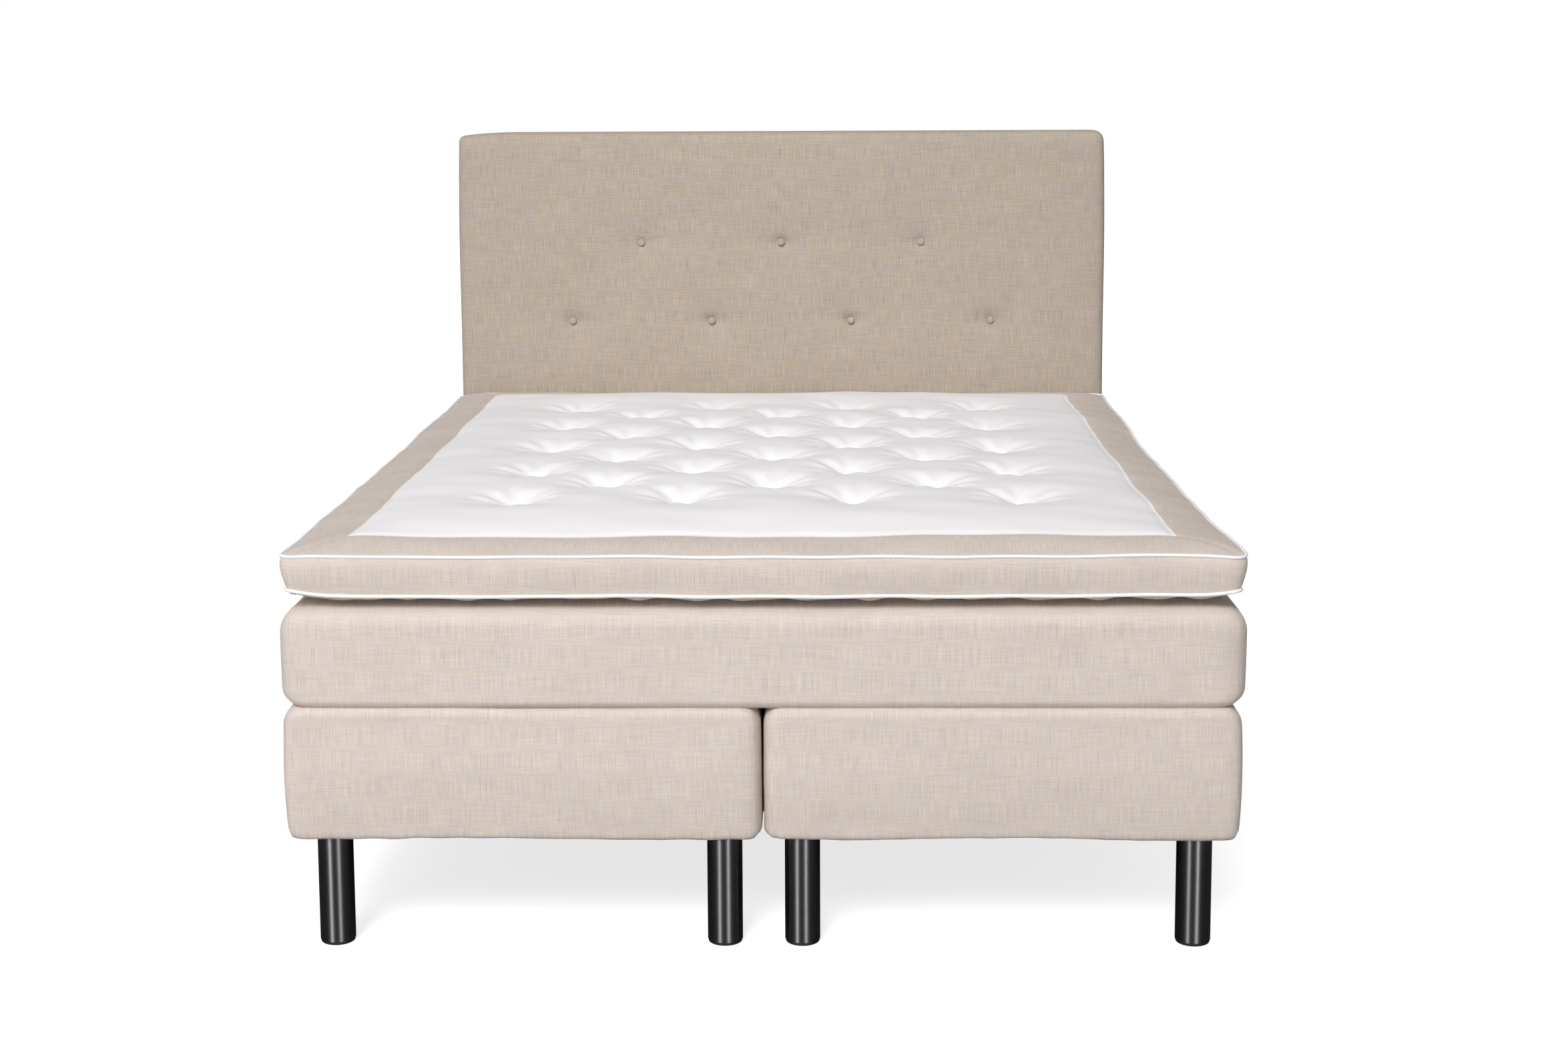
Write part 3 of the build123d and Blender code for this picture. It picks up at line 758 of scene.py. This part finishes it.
def make_mattress():
    """The whole cover of the mattress."""
    low = Vector((mattress_low.x, mattress_low.y, base_top_z))
    high = Vector((mattress_high.x, mattress_high.y, mattress_top_z))
    piece = soft_block("mattress_cover", low, high, mattress_cuts)
    points = points_of(piece)
    from_top = high.z - points[:, 2]
    from_floor = points[:, 2] - low.z
    side_in = both_rolls(from_top, from_floor, mattress_side_rolls)
    end_in = both_rolls(from_top, from_floor, mattress_end_rolls)
    halves = ((high.x - low.x) / 2, (high.y - low.y) / 2)
    middle = ((low.x + high.x) / 2, (low.y + high.y) / 2)
    points[:, 0] = middle[0] + (points[:, 0] - middle[0]) * (halves[0] - side_in) / halves[0]
    points[:, 1] = middle[1] + (points[:, 1] - middle[1]) * (halves[1] - end_in) / halves[1]
    inward = np.minimum(*from_sides(points, middle, halves))
    points[:, 2] -= roll_in(inward, rim_sink, rim_width) * roll_in(from_top, 1, rim_height)
    round_corners(points, middle, (halves[0] - side_in, halves[1] - end_in), mattress_corner)
    set_points(piece, points)
    walls = np.abs(normals_of(piece)[:, 2]) < 0.92
    fade = np.clip(from_top / mattress_top_fade, 0, 1) * np.clip(from_floor / mattress_floor_fade, 0, 1)
    points += normals_of(piece) * (swells(points, mattress_swells) * walls * fade)[:, None]
    set_points(piece, points)
    return piece


mattress_parts = ("border", "top_panel", "bottom_panel", "foam_border", "upper_foam", "lower_foam")
mattress_piece = make_mattress()
cloth_uv(mattress_piece)
finish_piece(mattress_piece, "mattress", "beige_linen", [f"mattress_{part}" for part in mattress_parts])

# %% [markdown]
# ## The topper's top: tufts by simulation
#
# The top is one sheet of cells, sewn down along the outer edge, along the seam between the beige
# frame and the white panel, and at 32 tufts. Those points are pinned. Cloth with a little spare
# length is then blown up from below, and the folds between the pins are the cloth's own.

# %% The sheet and its pins
cell = 11 * mm
tuft_spacing = (0.306, 0.295)
tuft_depth = 30 * mm
tuft_floor = 4 * mm
tuft_reach = 100 * mm
tuft_folds = 9
fold_height = 3 * mm
crease_reach = 0.25
crease_depth = 6 * mm
crease_width = 17 * mm
frame_width = 100 * mm
edge_z = mattress_top_z + 70.5 * mm
crown_distances = np.array((0, 13, 45, 92, 200, 333, 480, 640)) * mm
crown_heights = np.array((0, 6, 11.5, 16.5, 24.5, 30, 34, 36)) * mm
half_width = (topper_high.x - topper_low.x) / 2 - 12 * mm
half_length = (topper_high.y - topper_low.y) / 2 - 4 * mm
topper_corner = 26 * mm
topper_middle = (0, topper_middle_y)
topper_halves = (half_width, half_length)


def edge_distance(points):
    """How far a place on the topper is from its edge, with the corners' mitres softened."""
    soft = 15 * mm
    to_side, to_end = from_sides(points, topper_middle, topper_halves)
    nearer = np.minimum(to_side, to_end)
    farther = np.maximum(to_side, to_end)
    return nearer - soft * np.log1p(np.exp(-(farther - nearer) / soft))


def crown(points):
    """The topper's height above its edge seam, before the tufts."""
    return np.interp(np.clip(edge_distance(points), 0, None), crown_distances, crown_heights)


def tuft_places():
    """Four long columns of tufts, and three shorter ones staggered between them."""
    places = []
    for columns, rows in ((4, 5), (3, 4)):
        for column in range(columns):
            for row in range(rows):
                x = (column - (columns - 1) / 2) * tuft_spacing[0]
                y = (row - (rows - 1) / 2) * tuft_spacing[1]
                places.append((x, topper_middle_y + y))
    return places


def neighbours(places, reach):
    """The pairs of places that are no further apart than the reach."""
    return [
        (first, second)
        for number, first in enumerate(places)
        for second in places[number + 1 :]
        if math.dist(first, second) < reach
    ]


def make_top_sheet():
    """The flat grid of the topper's top, set to its crown and drawn down at the tufts."""
    size = (2 * half_width, 2 * half_length)
    piece = flat_sheet("topper_beige_cover", (*topper_middle, edge_z), size, cell)
    points = points_of(piece)
    round_corners(points, topper_middle, topper_halves, topper_corner)
    points[:, 2] = edge_z + crown(points)
    for start, end in neighbours(tuft_places(), crease_reach):
        crease(points, start, end, crease_depth, crease_width)
    for number, (x, y) in enumerate(tuft_places()):
        away_x = points[:, 0] - x
        away_y = points[:, 1] - y
        share = np.clip(1 - np.hypot(away_x, away_y) / tuft_reach, 0, 1)
        angle = np.arctan2(away_y, away_x) * tuft_folds + number * 1.7
        points[:, 2] += np.cos(angle) * fold_height * share * (1 - share) * 4
        points[:, 2] -= (tuft_depth - tuft_floor * share) * share**1.8
    set_points(piece, points)
    return piece


def pin_weights(points):
    """1 where the sheet is sewn down, 0 where it is free."""
    weights = np.zeros(len(points))
    to_side, to_end = from_sides(points, topper_middle, topper_halves)
    nearer = np.minimum(to_side, to_end)
    weights[nearer < 2 * mm] = 1
    in_corner = (to_side < topper_corner) & (to_end < topper_corner)
    from_centre = np.hypot(topper_corner - to_side, topper_corner - to_end)
    weights[in_corner & (from_centre > topper_corner - 2 * mm)] = 1
    weights[np.abs(nearer - frame_width) < 0.6 * cell] = 0.8
    for x, y in tuft_places():
        weights[np.hypot(points[:, 0] - x, points[:, 1] - y) < 0.8 * cell] = 1
    return weights


top_sheet = make_top_sheet()
print("top sheet:", len(top_sheet.data.vertices), "points")

# %% [markdown]
# ## Blow it up
#
# The cloth gets its pins as one vertex group and its spare length as another. Pressure lifts it
# between the pins over some frames, and no point may move further than a limit, so that the sheet
# stays close to its crown.


# %% The simulation
def add_group(piece, name, weights):
    """A vertex group with the given weight at each point, in steps of a tenth."""
    group = piece.vertex_groups.new(name=name)
    steps = np.round(weights * 10).astype(int)
    for step in np.unique(steps[steps > 0]):
        group.add([int(index) for index in np.flatnonzero(steps == step)], step / 10, "REPLACE")


def inflate(piece, weights, loose, frames, pressure, spare, bending, most):
    """Simulate the cloth over some frames, keep every point within a limit of its start, and apply."""
    start = points_of(piece)
    add_group(piece, "sewn", weights)
    add_group(piece, "loose", loose)
    cloth = piece.modifiers.new("cloth", "CLOTH")
    settings = cloth.settings
    settings.quality = 6
    settings.mass = 0.3
    settings.tension_stiffness = 20
    settings.compression_stiffness = 12
    settings.shear_stiffness = 8
    settings.bending_stiffness = bending
    settings.tension_damping = 12
    settings.compression_damping = 12
    settings.air_damping = 3
    settings.use_pressure = True
    settings.uniform_pressure_force = pressure
    settings.vertex_group_shrink = "loose"
    settings.shrink_min = 0
    settings.shrink_max = -spare
    settings.vertex_group_mass = "sewn"
    settings.pin_stiffness = 3
    settings.effector_weights.gravity = 0
    cloth.collision_settings.use_collision = False
    for number in range(1, frames + 1):
        scene.frame_set(number)
    activate(piece)
    bpy.ops.object.modifier_apply(modifier=cloth.name)
    moved = points_of(piece) - start
    lengths = np.linalg.norm(moved, axis=1)
    limit = np.minimum(lengths, most) / np.maximum(lengths, 1e-9)
    set_points(piece, start + moved * limit[:, None])
    piece.vertex_groups.clear()
    scene.frame_set(1)
    print(piece.name, "moved by up to", round(float(lengths.max()) * 1000, 1), "mm")


sheet_points = points_of(top_sheet)
from_seam = edge_distance(sheet_points) - frame_width
inflate(
    top_sheet, pin_weights(sheet_points), np.clip(from_seam / (140 * mm), 0, 1), frames=22,
    pressure=1.5, spare=0.013, bending=0.4, most=26 * mm,
)
apply_modifier(top_sheet, "SUBSURF", levels=1, render_levels=1)

# %% [markdown]
# ## White panel and beige frame
#
# The sheet is now parted along its inner seam: the middle is the white panel, whose selvage stands a
# little over the seam, and the strip round it is the beige frame. The frame is carried down over the
# topper's side, in under the lower piping, and ends in a scalloped hem.

# %% Part the sheet
seam_x = half_width - frame_width
seam_y = half_length - frame_width
seam_depth = 2.5 * mm
seam_width = 9 * mm
mitre_depth = 2 * mm
selvage_steps = ((1, 0.5), (2.5, -0.3))


def groove(points):
    """The sewn seam round the panel and the mitre seams of the frame, pressed into the top."""
    to_side, to_end = from_sides(points, topper_middle, topper_halves)
    nearer = np.minimum(to_side, to_end)
    seam = seam_depth * bell(nearer - frame_width, seam_width)
    mitre = mitre_depth * bell(to_side - to_end, seam_width) * np.clip(nearer / cell, 0, 1)
    return seam + mitre * (nearer < frame_width)


def part_panel(piece, name):
    """Separate the faces inside the seam into an object of their own, and return it."""
    clear_selection(piece, "FACE")
    faces = piece.data.polygons
    to_seam = from_sides(read(faces, "center", 3), topper_middle, (seam_x, seam_y))
    faces.foreach_set("select", np.minimum(*to_seam) > 0)
    bpy.ops.object.mode_set(mode="EDIT")
    bpy.ops.mesh.separate(type="SELECTED")
    bpy.ops.object.mode_set(mode="OBJECT")
    panel = next(found for found in bpy.context.selected_objects if found != piece)
    panel.name = name
    return panel


def add_selvage(piece):
    """Extrude the panel's border a few millimetres outwards, standing just over the seam."""
    select_border(piece)
    for outwards, upwards in selvage_steps:
        scale = (1 + outwards * mm / seam_x, 1 + outwards * mm / seam_y, 1)
        extrude_border((0, 0, upwards * mm), scale, (*topper_middle, edge_z))
    bpy.ops.object.mode_set(mode="OBJECT")


points = points_of(top_sheet)
points[:, 2] -= groove(points)
set_points(top_sheet, points)
white_panel = part_panel(top_sheet, "topper_white_panel")
beige_frame = top_sheet
add_selvage(white_panel)
print("panel:", len(white_panel.data.polygons), "faces, frame:", len(beige_frame.data.polygons), "faces")

# %% [markdown]
# ## The topper's side
#
# The frame's outer edge is extruded down in steps and then inwards for the hem, and the rings are
# pushed out to a slightly full side. The same small shifts are then given to every part that meets
# at a seam, so that no gap opens between them: the seams wander, the long sides are a little hollow
# and the corners point up and out.

# %% Carry the beige cloth down the side and under
side_levels = np.array((0, 4, 10, 18, 28, 40, 52, 61, 66.5)) * mm
side_offsets = np.array((0, 1.5, 3, 3.5, 2.5, 0, -3, -6, -7.5)) * mm
side_drop = 66.5 * mm
hem_steps = ((3, 4.5), (6, 2), (12, -2), (18, -1))
side_pucker = 1.1 * mm
side_swell = 0.9 * mm
hem_scallop = 2 * mm
wave_sizes = np.array((1.3, 1.3, 1.9)) * mm
ripple_size = 1 * mm
topper_aside = 2 * mm
corner_reach = 45 * mm
corner_push = (1 * mm, 2 * mm)
corner_lift = 11 * mm
corner_sink = 2 * mm
end_push = 5 * mm
hollow_left = 5 * mm
hollow_right = 18 * mm
seam_reach = 35 * mm
seam_bend = 2.5 * mm


def outward(points):
    """The direction straight out of the topper's rounded outline, for places near it."""
    from_x = np.clip(np.abs(points[:, 0]) - (half_width - topper_corner), 0, None) * np.sign(points[:, 0])
    from_middle = points[:, 1] - topper_middle_y
    from_y = np.clip(np.abs(from_middle) - (half_length - topper_corner), 0, None) * np.sign(from_middle)
    length = np.maximum(np.hypot(from_x, from_y), 1e-9)
    return np.stack([from_x / length, from_y / length], axis=1)


def drop_side(piece):
    """Extrude the outer edge down in steps, and then inwards for the hem."""
    clear_selection(piece, "EDGE")
    mesh = piece.data
    uses = np.zeros(len(mesh.edges), dtype=int)
    np.add.at(uses, read(mesh.loops, "edge_index", kind=int), 1)
    middles = points_of(piece)[read(mesh.edges, "vertices", 2, int)].mean(axis=1)
    outer = np.minimum(*from_sides(middles, topper_middle, topper_halves)) < frame_width / 2
    mesh.edges.foreach_set("select", (uses == 1) & outer)
    bpy.ops.object.mode_set(mode="EDIT")
    for level, next_level in zip(side_levels, side_levels[1:]):
        step_down = float(level - next_level)
        bpy.ops.mesh.extrude_region_move(TRANSFORM_OT_translate={"value": (0, 0, step_down)})
    for inwards, down in hem_steps:
        scale = (1 - inwards * mm / half_width, 1 - inwards * mm / half_length, 1)
        extrude_border((0, 0, -down * mm), scale, (*topper_middle, edge_z))
    bpy.ops.object.mode_set(mode="OBJECT")


def shape_side(piece):
    """Push the dropped side outwards to its fullness, with small puckers beside the lower seam."""
    points = points_of(piece)
    from_edge = edge_z - points[:, 2]
    on_side = from_edge > 1 * mm
    share = np.clip(from_edge / side_drop, 0, 1)
    flat_points = points * (1, 1, 0.2)
    pucker = waves(flat_points, 0.07, 51) * side_pucker * share**2
    pucker += waves(flat_points, 0.22, 52) * side_swell
    offset = np.interp(from_edge, side_levels, side_offsets) + pucker * np.sin(math.pi * share)
    points[:, :2] += outward(points) * (offset * on_side)[:, None]
    under = from_edge > side_drop + 1 * mm
    points[:, 2] += np.where(under, waves(points * (1, 1, 0), 0.05, 53) * hem_scallop, 0)
    set_points(piece, points)


def wander(points):
    """Small shifts that let the topper's seams and edges run less straight, and shape its corners."""
    flat_points = points * (1, 1, 0)
    side = np.sign(points[:, 0])
    from_middle = points[:, 1] - topper_middle_y
    share = np.clip(from_middle / half_length, -1, 1)
    down = np.clip((edge_z - points[:, 2]) / side_drop, 0, 1)
    corner = bell(np.hypot(*from_sides(points, topper_middle, topper_halves)), corner_reach)
    shift = np.stack([waves(flat_points, 0.4, seed) for seed in (71, 72, 73)], axis=1) * wave_sizes
    shift[:, 2] += waves(flat_points, 0.15, 76) * ripple_size
    shift[:, 2] += (corner_lift * down - corner_sink) * corner
    shift[:, 0] += topper_aside + side * corner_push[0] * corner
    shift[:, 1] += np.sign(from_middle) * corner_push[1] * corner
    shift[:, 1] += end_push * down**2 * np.sign(share) * np.abs(share) ** 12
    hollow = np.where(side > 0, hollow_right, hollow_left) * np.cos(share * math.pi / 2)
    hollow *= (1 - 0.5 * share) * np.clip(np.abs(points[:, 0]) / half_width, 0, 1) ** 4
    shift[:, 0] -= side * hollow
    near_x = bell(np.abs(points[:, 0]) - seam_x, seam_reach)
    near_y = bell(np.abs(from_middle) - seam_y, seam_reach)
    shift[:, 0] += near_x * waves(points * (0, 1, 0), 0.4, 74) * seam_bend
    shift[:, 1] += near_y * waves(points * (1, 0, 0), 0.25, 75) * seam_bend
    return shift


drop_side(beige_frame)
shape_side(beige_frame)
for piece, slot, replaced in (
    (white_panel, "white_ticking", ["topper_top_panel"]),
    (beige_frame, "beige_linen", ["topper_border", "topper_core"]),
):
    points = points_of(piece)
    set_points(piece, points + wander(points))
    cloth_uv(piece)
    finish_piece(piece, "topper", slot, replaced)

# %% [markdown]
# ## Piping
#
# Two lines of white piping run round the topper's side, one at each edge. Each is a cord in a fold of
# ticking, drawn here as a bevelled curve and turned into a mesh.

# %% Piping
piping_radius = 3 * mm


def outline_path(half_a, half_b, radius, spacing):
    """Points round a rounded rectangle about the topper's middle."""
    corners = ((1, 1, 0), (-1, 1, 1), (-1, -1, 2), (1, -1, 3))
    places = []
    for sign_a, sign_b, quarter in corners:
        centre = np.array((sign_a * (half_a - radius), topper_middle_y + sign_b * (half_b - radius)))
        for number in range(7):
            angle = (quarter + number / 6) * math.pi / 2
            places.append(centre + radius * np.array((math.cos(angle), math.sin(angle))))
    path = []
    for start, end in zip(places, places[1:] + places[:1]):
        count = max(1, round(math.dist(start, end) / spacing))
        path += [start + (end - start) * number / count for number in range(count)]
    return np.array(path)


def make_piping(name, inset, level, replaced):
    """A white cord that follows the topper's outline at a level."""
    flat = outline_path(half_width - inset, half_length - inset, topper_corner - inset, 12 * mm)
    path = np.column_stack([flat, np.full(len(flat), level)])
    path = path + wander(path)
    curve = bpy.data.curves.new(name, "CURVE")
    curve.dimensions = "3D"
    curve.bevel_depth = piping_radius
    curve.bevel_resolution = 3
    spline = curve.splines.new("POLY")
    spline.points.add(len(path) - 1)
    spline.points.foreach_set("co", np.column_stack([path, np.ones(len(path))]).ravel())
    spline.use_cyclic_u = True
    piece = bpy.data.objects.new(name, curve)
    scene.collection.objects.link(piece)
    activate(piece)
    bpy.ops.object.convert(target="MESH")
    finish_piece(piece, "topper", "white_piping", [replaced])


make_piping("topper_upper_cord", -0.5 * mm, edge_z, "topper_piping_top")
make_piping("topper_lower_cord", 7 * mm, edge_z - side_drop, "topper_piping_bottom")

# %% [markdown]
# ## The topper's underside
#
# The underside is the same ticking, with a shallow dimple under each tuft.

# %% Underside
hem_width = 44 * mm
dimple_height = 4 * mm
dimple_width = 30 * mm


def make_underside():
    """The ticking under the topper, inside the hem."""
    size = (2 * (half_width - hem_width), 2 * (half_length - hem_width))
    piece = flat_sheet("topper_underside", (*topper_middle, mattress_top_z + 0.8 * mm), size, 18 * mm)
    points = points_of(piece)
    for x, y in tuft_places():
        away = np.hypot(points[:, 0] - x, points[:, 1] - y)
        points[:, 2] += dimple_height * bell(away, dimple_width)
    points[:, 2] += waves(points, 0.3, 91) * 0.2 * mm
    set_points(piece, points)
    activate(piece)
    bpy.ops.object.mode_set(mode="EDIT")
    bpy.ops.mesh.select_all(action="SELECT")
    bpy.ops.mesh.flip_normals()
    bpy.ops.object.mode_set(mode="OBJECT")
    return piece


underside = make_underside()
cloth_uv(underside)
finish_piece(underside, "topper", "white_ticking", ["topper_bottom_panel"])

# %% [markdown]
# ## Headboard
#
# The cloth is drawn over foam and held by seven covered buttons, three above four. A sheet is sewn
# down at its edges and at the buttons and blown up a little, so that shallow folds run from button to
# button, as the shadows in the photograph do.

# %% The headboard's cloth
headboard_cell = 9.5 * mm
headboard_middle = (0, (headboard_low.z + headboard_high.z) / 2)
headboard_half_width = (headboard_high.x - headboard_low.x) / 2
headboard_half_height = (headboard_high.z - headboard_low.z) / 2
button_depth = 15 * mm
button_reach = 105 * mm
row_fold_depth = 4 * mm
row_fold_width = 16 * mm
button_spacing = 0.346
upper_row_z = headboard_high.z - 0.272
lower_row_z = headboard_high.z - 0.467
button_rows = {
    "upper": [((number - 1) * button_spacing, upper_row_z) for number in range(3)],
    "lower": [((number - 1.5) * button_spacing, lower_row_z) for number in range(4)],
}
button_places = button_rows["upper"] + button_rows["lower"]
front_inset = 30 * mm
front_halves = (headboard_half_width - front_inset, headboard_half_height - front_inset)


def make_headboard_sheet():
    """The front of the headboard: an upright grid, drawn in at the buttons."""
    size = (2 * front_halves[0], 2 * front_halves[1])
    middle = (0, headboard_low.y + 2 * mm, headboard_middle[1])
    piece = flat_sheet("headboard_upholstery", middle, size, headboard_cell, upright=True)
    points = points_of(piece)
    for row in button_rows.values():
        for start, end in zip(row, row[1:]):
            crease(points, start, end, -row_fold_depth, row_fold_width, axes=(0, 2), along=1)
    for x, z in button_places:
        share = np.clip(1 - np.hypot(points[:, 0] - x, points[:, 2] - z) / button_reach, 0, 1)
        points[:, 1] += button_depth * (0.6 * share**2.5 + 0.38 * share**7)
    set_points(piece, points)
    return piece


def headboard_pins(points):
    """1 at the edges of the front and under the buttons."""
    weights = np.zeros(len(points))
    to_edge = np.minimum(*from_sides(points, headboard_middle, front_halves, axes=(0, 2)))
    weights[to_edge < 1 * mm] = 1
    for x, z in button_places:
        weights[np.hypot(points[:, 0] - x, points[:, 2] - z) < 0.8 * headboard_cell] = 1
    return weights


headboard_sheet = make_headboard_sheet()
sheet_points = points_of(headboard_sheet)
inflate(
    headboard_sheet, headboard_pins(sheet_points), np.ones(len(sheet_points)), frames=16,
    pressure=0.25, spare=0.002, bending=1.5, most=6 * mm,
)

# %% [markdown]
# ## Round the headboard's edges
#
# The sheet's border is carried back over the foam in steps, each a little further out, and folded in
# behind the frame. Its two upper corners are not alike: the left one is tighter and sinks a little,
# as in the photograph.

# %% Carry it round the edges
wrap_steps = (
    (10, 1.2), (8, 3), (6, 5), (3.5, 7), (2, 9), (0.5, 14), (0, 20), (0, 14), (-3, 3), (-15, 0),
)
right_corner = 26 * mm
left_corner = 12 * mm
corner_drop = 9 * mm
corner_drop_reach = 150 * mm
side_rim = 100 * mm
side_waves = 1.5 * mm
top_taper = 3 * mm


def wrap_headboard(piece):
    """Extrude the sheet's edge backwards in steps, outwards round the frame, and in behind it."""
    select_border(piece)
    wide, high = front_halves
    for outwards, backwards in wrap_steps:
        scale = ((wide + outwards * mm) / wide, 1, (high + outwards * mm) / high)
        extrude_border((0, backwards * mm, 0), scale, (0, 0, headboard_middle[1]))
        wide += outwards * mm
        high += outwards * mm
    bpy.ops.mesh.select_all(action="SELECT")
    bpy.ops.mesh.normals_make_consistent(inside=False)
    bpy.ops.object.mode_set(mode="OBJECT")


def settle_headboard(piece):
    """Round its corners, let its upper left corner sink a little, and soften its outline."""
    points = points_of(piece)
    radius = np.where(points[:, 0] > 0, right_corner, left_corner)
    halves = (headboard_half_width, headboard_half_height)
    round_corners(points, headboard_middle, halves, radius, axes=(0, 2))
    high_up = np.clip((points[:, 2] - headboard_middle[1]) / headboard_half_height, 0, 1) ** 6
    from_left = points[:, 0] - headboard_low.x
    points[:, 2] -= high_up * roll_in(from_left, corner_drop, corner_drop_reach)
    rim = np.clip((np.abs(points[:, 0]) - headboard_half_width + side_rim) / side_rim, 0, 1)
    soft = waves(points * (0, 0, 1), 0.5, 95) * side_waves - top_taper * high_up
    points[:, 0] += np.sign(points[:, 0]) * rim * soft
    set_points(piece, points)


wrap_headboard(headboard_sheet)
settle_headboard(headboard_sheet)
apply_modifier(headboard_sheet, "SUBSURF", levels=1, render_levels=1)
cloth_uv(headboard_sheet)
# Its linen's darker base colour is painted shade.
finish_piece(headboard_sheet, "headboard", "headboard_linen", ["headboard_cover", "headboard_foam"])

# %% [markdown]
# ## Covered buttons
#
# A covered button is a shallow metal dome with the same cloth stretched over it and tucked in behind
# a narrow rim. Its profile is extruded ring by ring from a circle.

# %% Buttons
button_seat = (7, 0)
button_profile = ((9, 3), (9, 4.6), (8.3, 6.1), (6.9, 7.4), (4.7, 8.2), (2.2, 8.6))


def make_button(x, z):
    """One button, from its back, which is pressed into the cloth, to its domed front."""
    seat = (x, headboard_low.y + button_depth, z)
    reach, height = button_seat
    bpy.ops.mesh.primitive_circle_add(
        vertices=40, radius=reach * mm, fill_type="NGON", location=seat, rotation=(math.pi / 2, 0, 0)
    )
    button = bpy.context.object
    bpy.ops.object.transform_apply(location=True, rotation=True, scale=True)
    bpy.ops.object.mode_set(mode="EDIT")
    bpy.ops.mesh.select_all(action="SELECT")
    for radius, level in button_profile:
        scale = (radius / reach, 1, radius / reach)
        extrude_border((0, (height - level) * mm, 0), scale, (x, 0, z))
        reach, height = radius, level
    bpy.ops.object.mode_set(mode="OBJECT")
    return button


for row_name, row in button_rows.items():
    buttons = join_pieces([make_button(x, z) for x, z in row], f"headboard_{row_name}_covered_buttons")
    apply_modifier(buttons, "SUBSURF", levels=1, render_levels=1)
    cloth_uv(buttons)
    finish_piece(buttons, "headboard", "headboard_linen", [f"headboard_buttons_{row_name}"])

# %% [markdown]
# ## The headboard's back
#
# Behind, the cover is folded in over the frame's edge, and a black lining is stapled over it.

# %% Back lining
back_hem = 13 * mm
back_middle = Vector((0, headboard_high.y - 0.8 * mm, headboard_middle[1]))
back_size = (2 * (headboard_half_width - back_hem), 2 * (headboard_half_height - back_hem))
back_lining = flat_sheet("headboard_back_lining", back_middle, back_size, 20 * mm, upright=True)
points = points_of(back_lining)
points[:, 1] += waves(points, 0.2, 97) * 0.25 * mm
set_points(back_lining, points)
finish_piece(back_lining, "headboard", "lining_cloth", ["headboard_back_cloth"])
upright_turn = Matrix.Rotation(math.pi / 2, 4, "X")
back_staples = make_staples(
    "headboard_staples", back_size[0] / 2, back_size[1] / 2,
    lambda a, b: Matrix.Translation(back_middle + Vector((a, 0.5 * mm, b))) @ upright_turn,
)
finish_piece(back_staples, "headboard", "zinc_steel")

# %% [markdown]
# ## Studio
#
# A soft sun stands high in front of the bed. A large softbox fills in from the front left, and a faint
# one over the foot end lightens the top. Two narrow strips are seen only in reflections: they draw
# the two upright lines on each leg. The sky and floor are white to the camera, and the floor keeps
# the bed's soft shadow. Each lamp is given as its place, its width and height, and its watts.

# %% Floor, sky and lamps
sky_strength = 0.28
sky_in_mirrors = 0.08
floor_lift = 0.77
sun_place = Vector((-1.1, -5.7, 5.4))
sun_strength = 1.82
softboxes = {
    "fill": ((-2.3, foot_y - 4.1, 3.3), (2.5, 1.6), 82),
    "overhead": ((-0.4, foot_y - 1.2, 3), (2, 1.2), 7),
}
strips = {
    "strip_left": ((-3.2, -5.8, 1.3), (0.6, 2.5), 170),
    "strip_right": ((2.4, -6.5, 1.3), (0.6, 2.5), 170),
}


def light_path(tree, kind):
    """The light path's answer to what kind of ray is looking."""
    return Wire(tree, tree.nodes.new("ShaderNodeLightPath").outputs[kind])


def make_floor():
    """A wide white floor, which shows brighter to the camera and darker in reflections."""
    bpy.ops.mesh.primitive_plane_add(size=60, location=(0, 0, 0))
    floor = bpy.context.object
    floor.name = "floor"
    material, put, place = new_material("floor", "Object")
    tree = material.node_tree
    put("Base Color", light_path(tree, "Is Glossy Ray").mix((0.55, 0.55, 0.55, 1), (0.08, 0.08, 0.08, 1)))
    put("Roughness", 1.0)
    put("Specular IOR Level", 0.0)
    put("Emission Color", (1, 1, 1, 1))
    put("Emission Strength", light_path(tree, "Is Camera Ray") * floor_lift)
    floor.data.materials.append(material)


def make_sky():
    """White where the camera sees it, softer as a light, and dark in reflections."""
    world = bpy.data.worlds.new("sky")
    scene.world = world
    world.use_nodes = True
    tree = world.node_tree
    background = tree.nodes["Background"]
    seen = light_path(tree, "Is Camera Ray") * (1 - sky_strength)
    mirrored = light_path(tree, "Is Glossy Ray") * (sky_in_mirrors - sky_strength)
    background.inputs["Color"].default_value = (1, 1, 1, 1)
    tree.links.new((seen + mirrored + sky_strength).socket, background.inputs["Strength"])


def hang_lamp(name, kind, place, watts):
    """A lamp that looks at the bed from a place."""
    light = bpy.data.lights.new(name, kind)
    light.energy = watts
    lamp = bpy.data.objects.new(name, light)
    lamp.location = place
    lamp.rotation_euler = (Vector((0, 0, 0.5)) - place).to_track_quat("-Z", "Y").to_euler()
    lamp.visible_camera = False
    scene.collection.objects.link(lamp)
    return lamp


def hang_softboxes(boxes, hidden_from):
    """Rectangular lamps that look at the bed, and that one kind of ray doesn't see."""
    for name, (place, size, watts) in boxes.items():
        lamp = hang_lamp(name, "AREA", Vector(place), watts)
        lamp.data.shape = "RECTANGLE"
        lamp.data.size, lamp.data.size_y = size
        setattr(lamp, hidden_from, False)


make_floor()
make_sky()
sun = hang_lamp("sun", "SUN", sun_place, sun_strength)
sun.data.angle = math.radians(18)
sun.visible_glossy = False
hang_softboxes(softboxes, "visible_glossy")
hang_softboxes(strips, "visible_diffuse")
scene.view_settings.view_transform = "Standard"
print("lamps:", 1 + len(softboxes) + len(strips))

# %% Finish
bpy.context.view_layer.update()
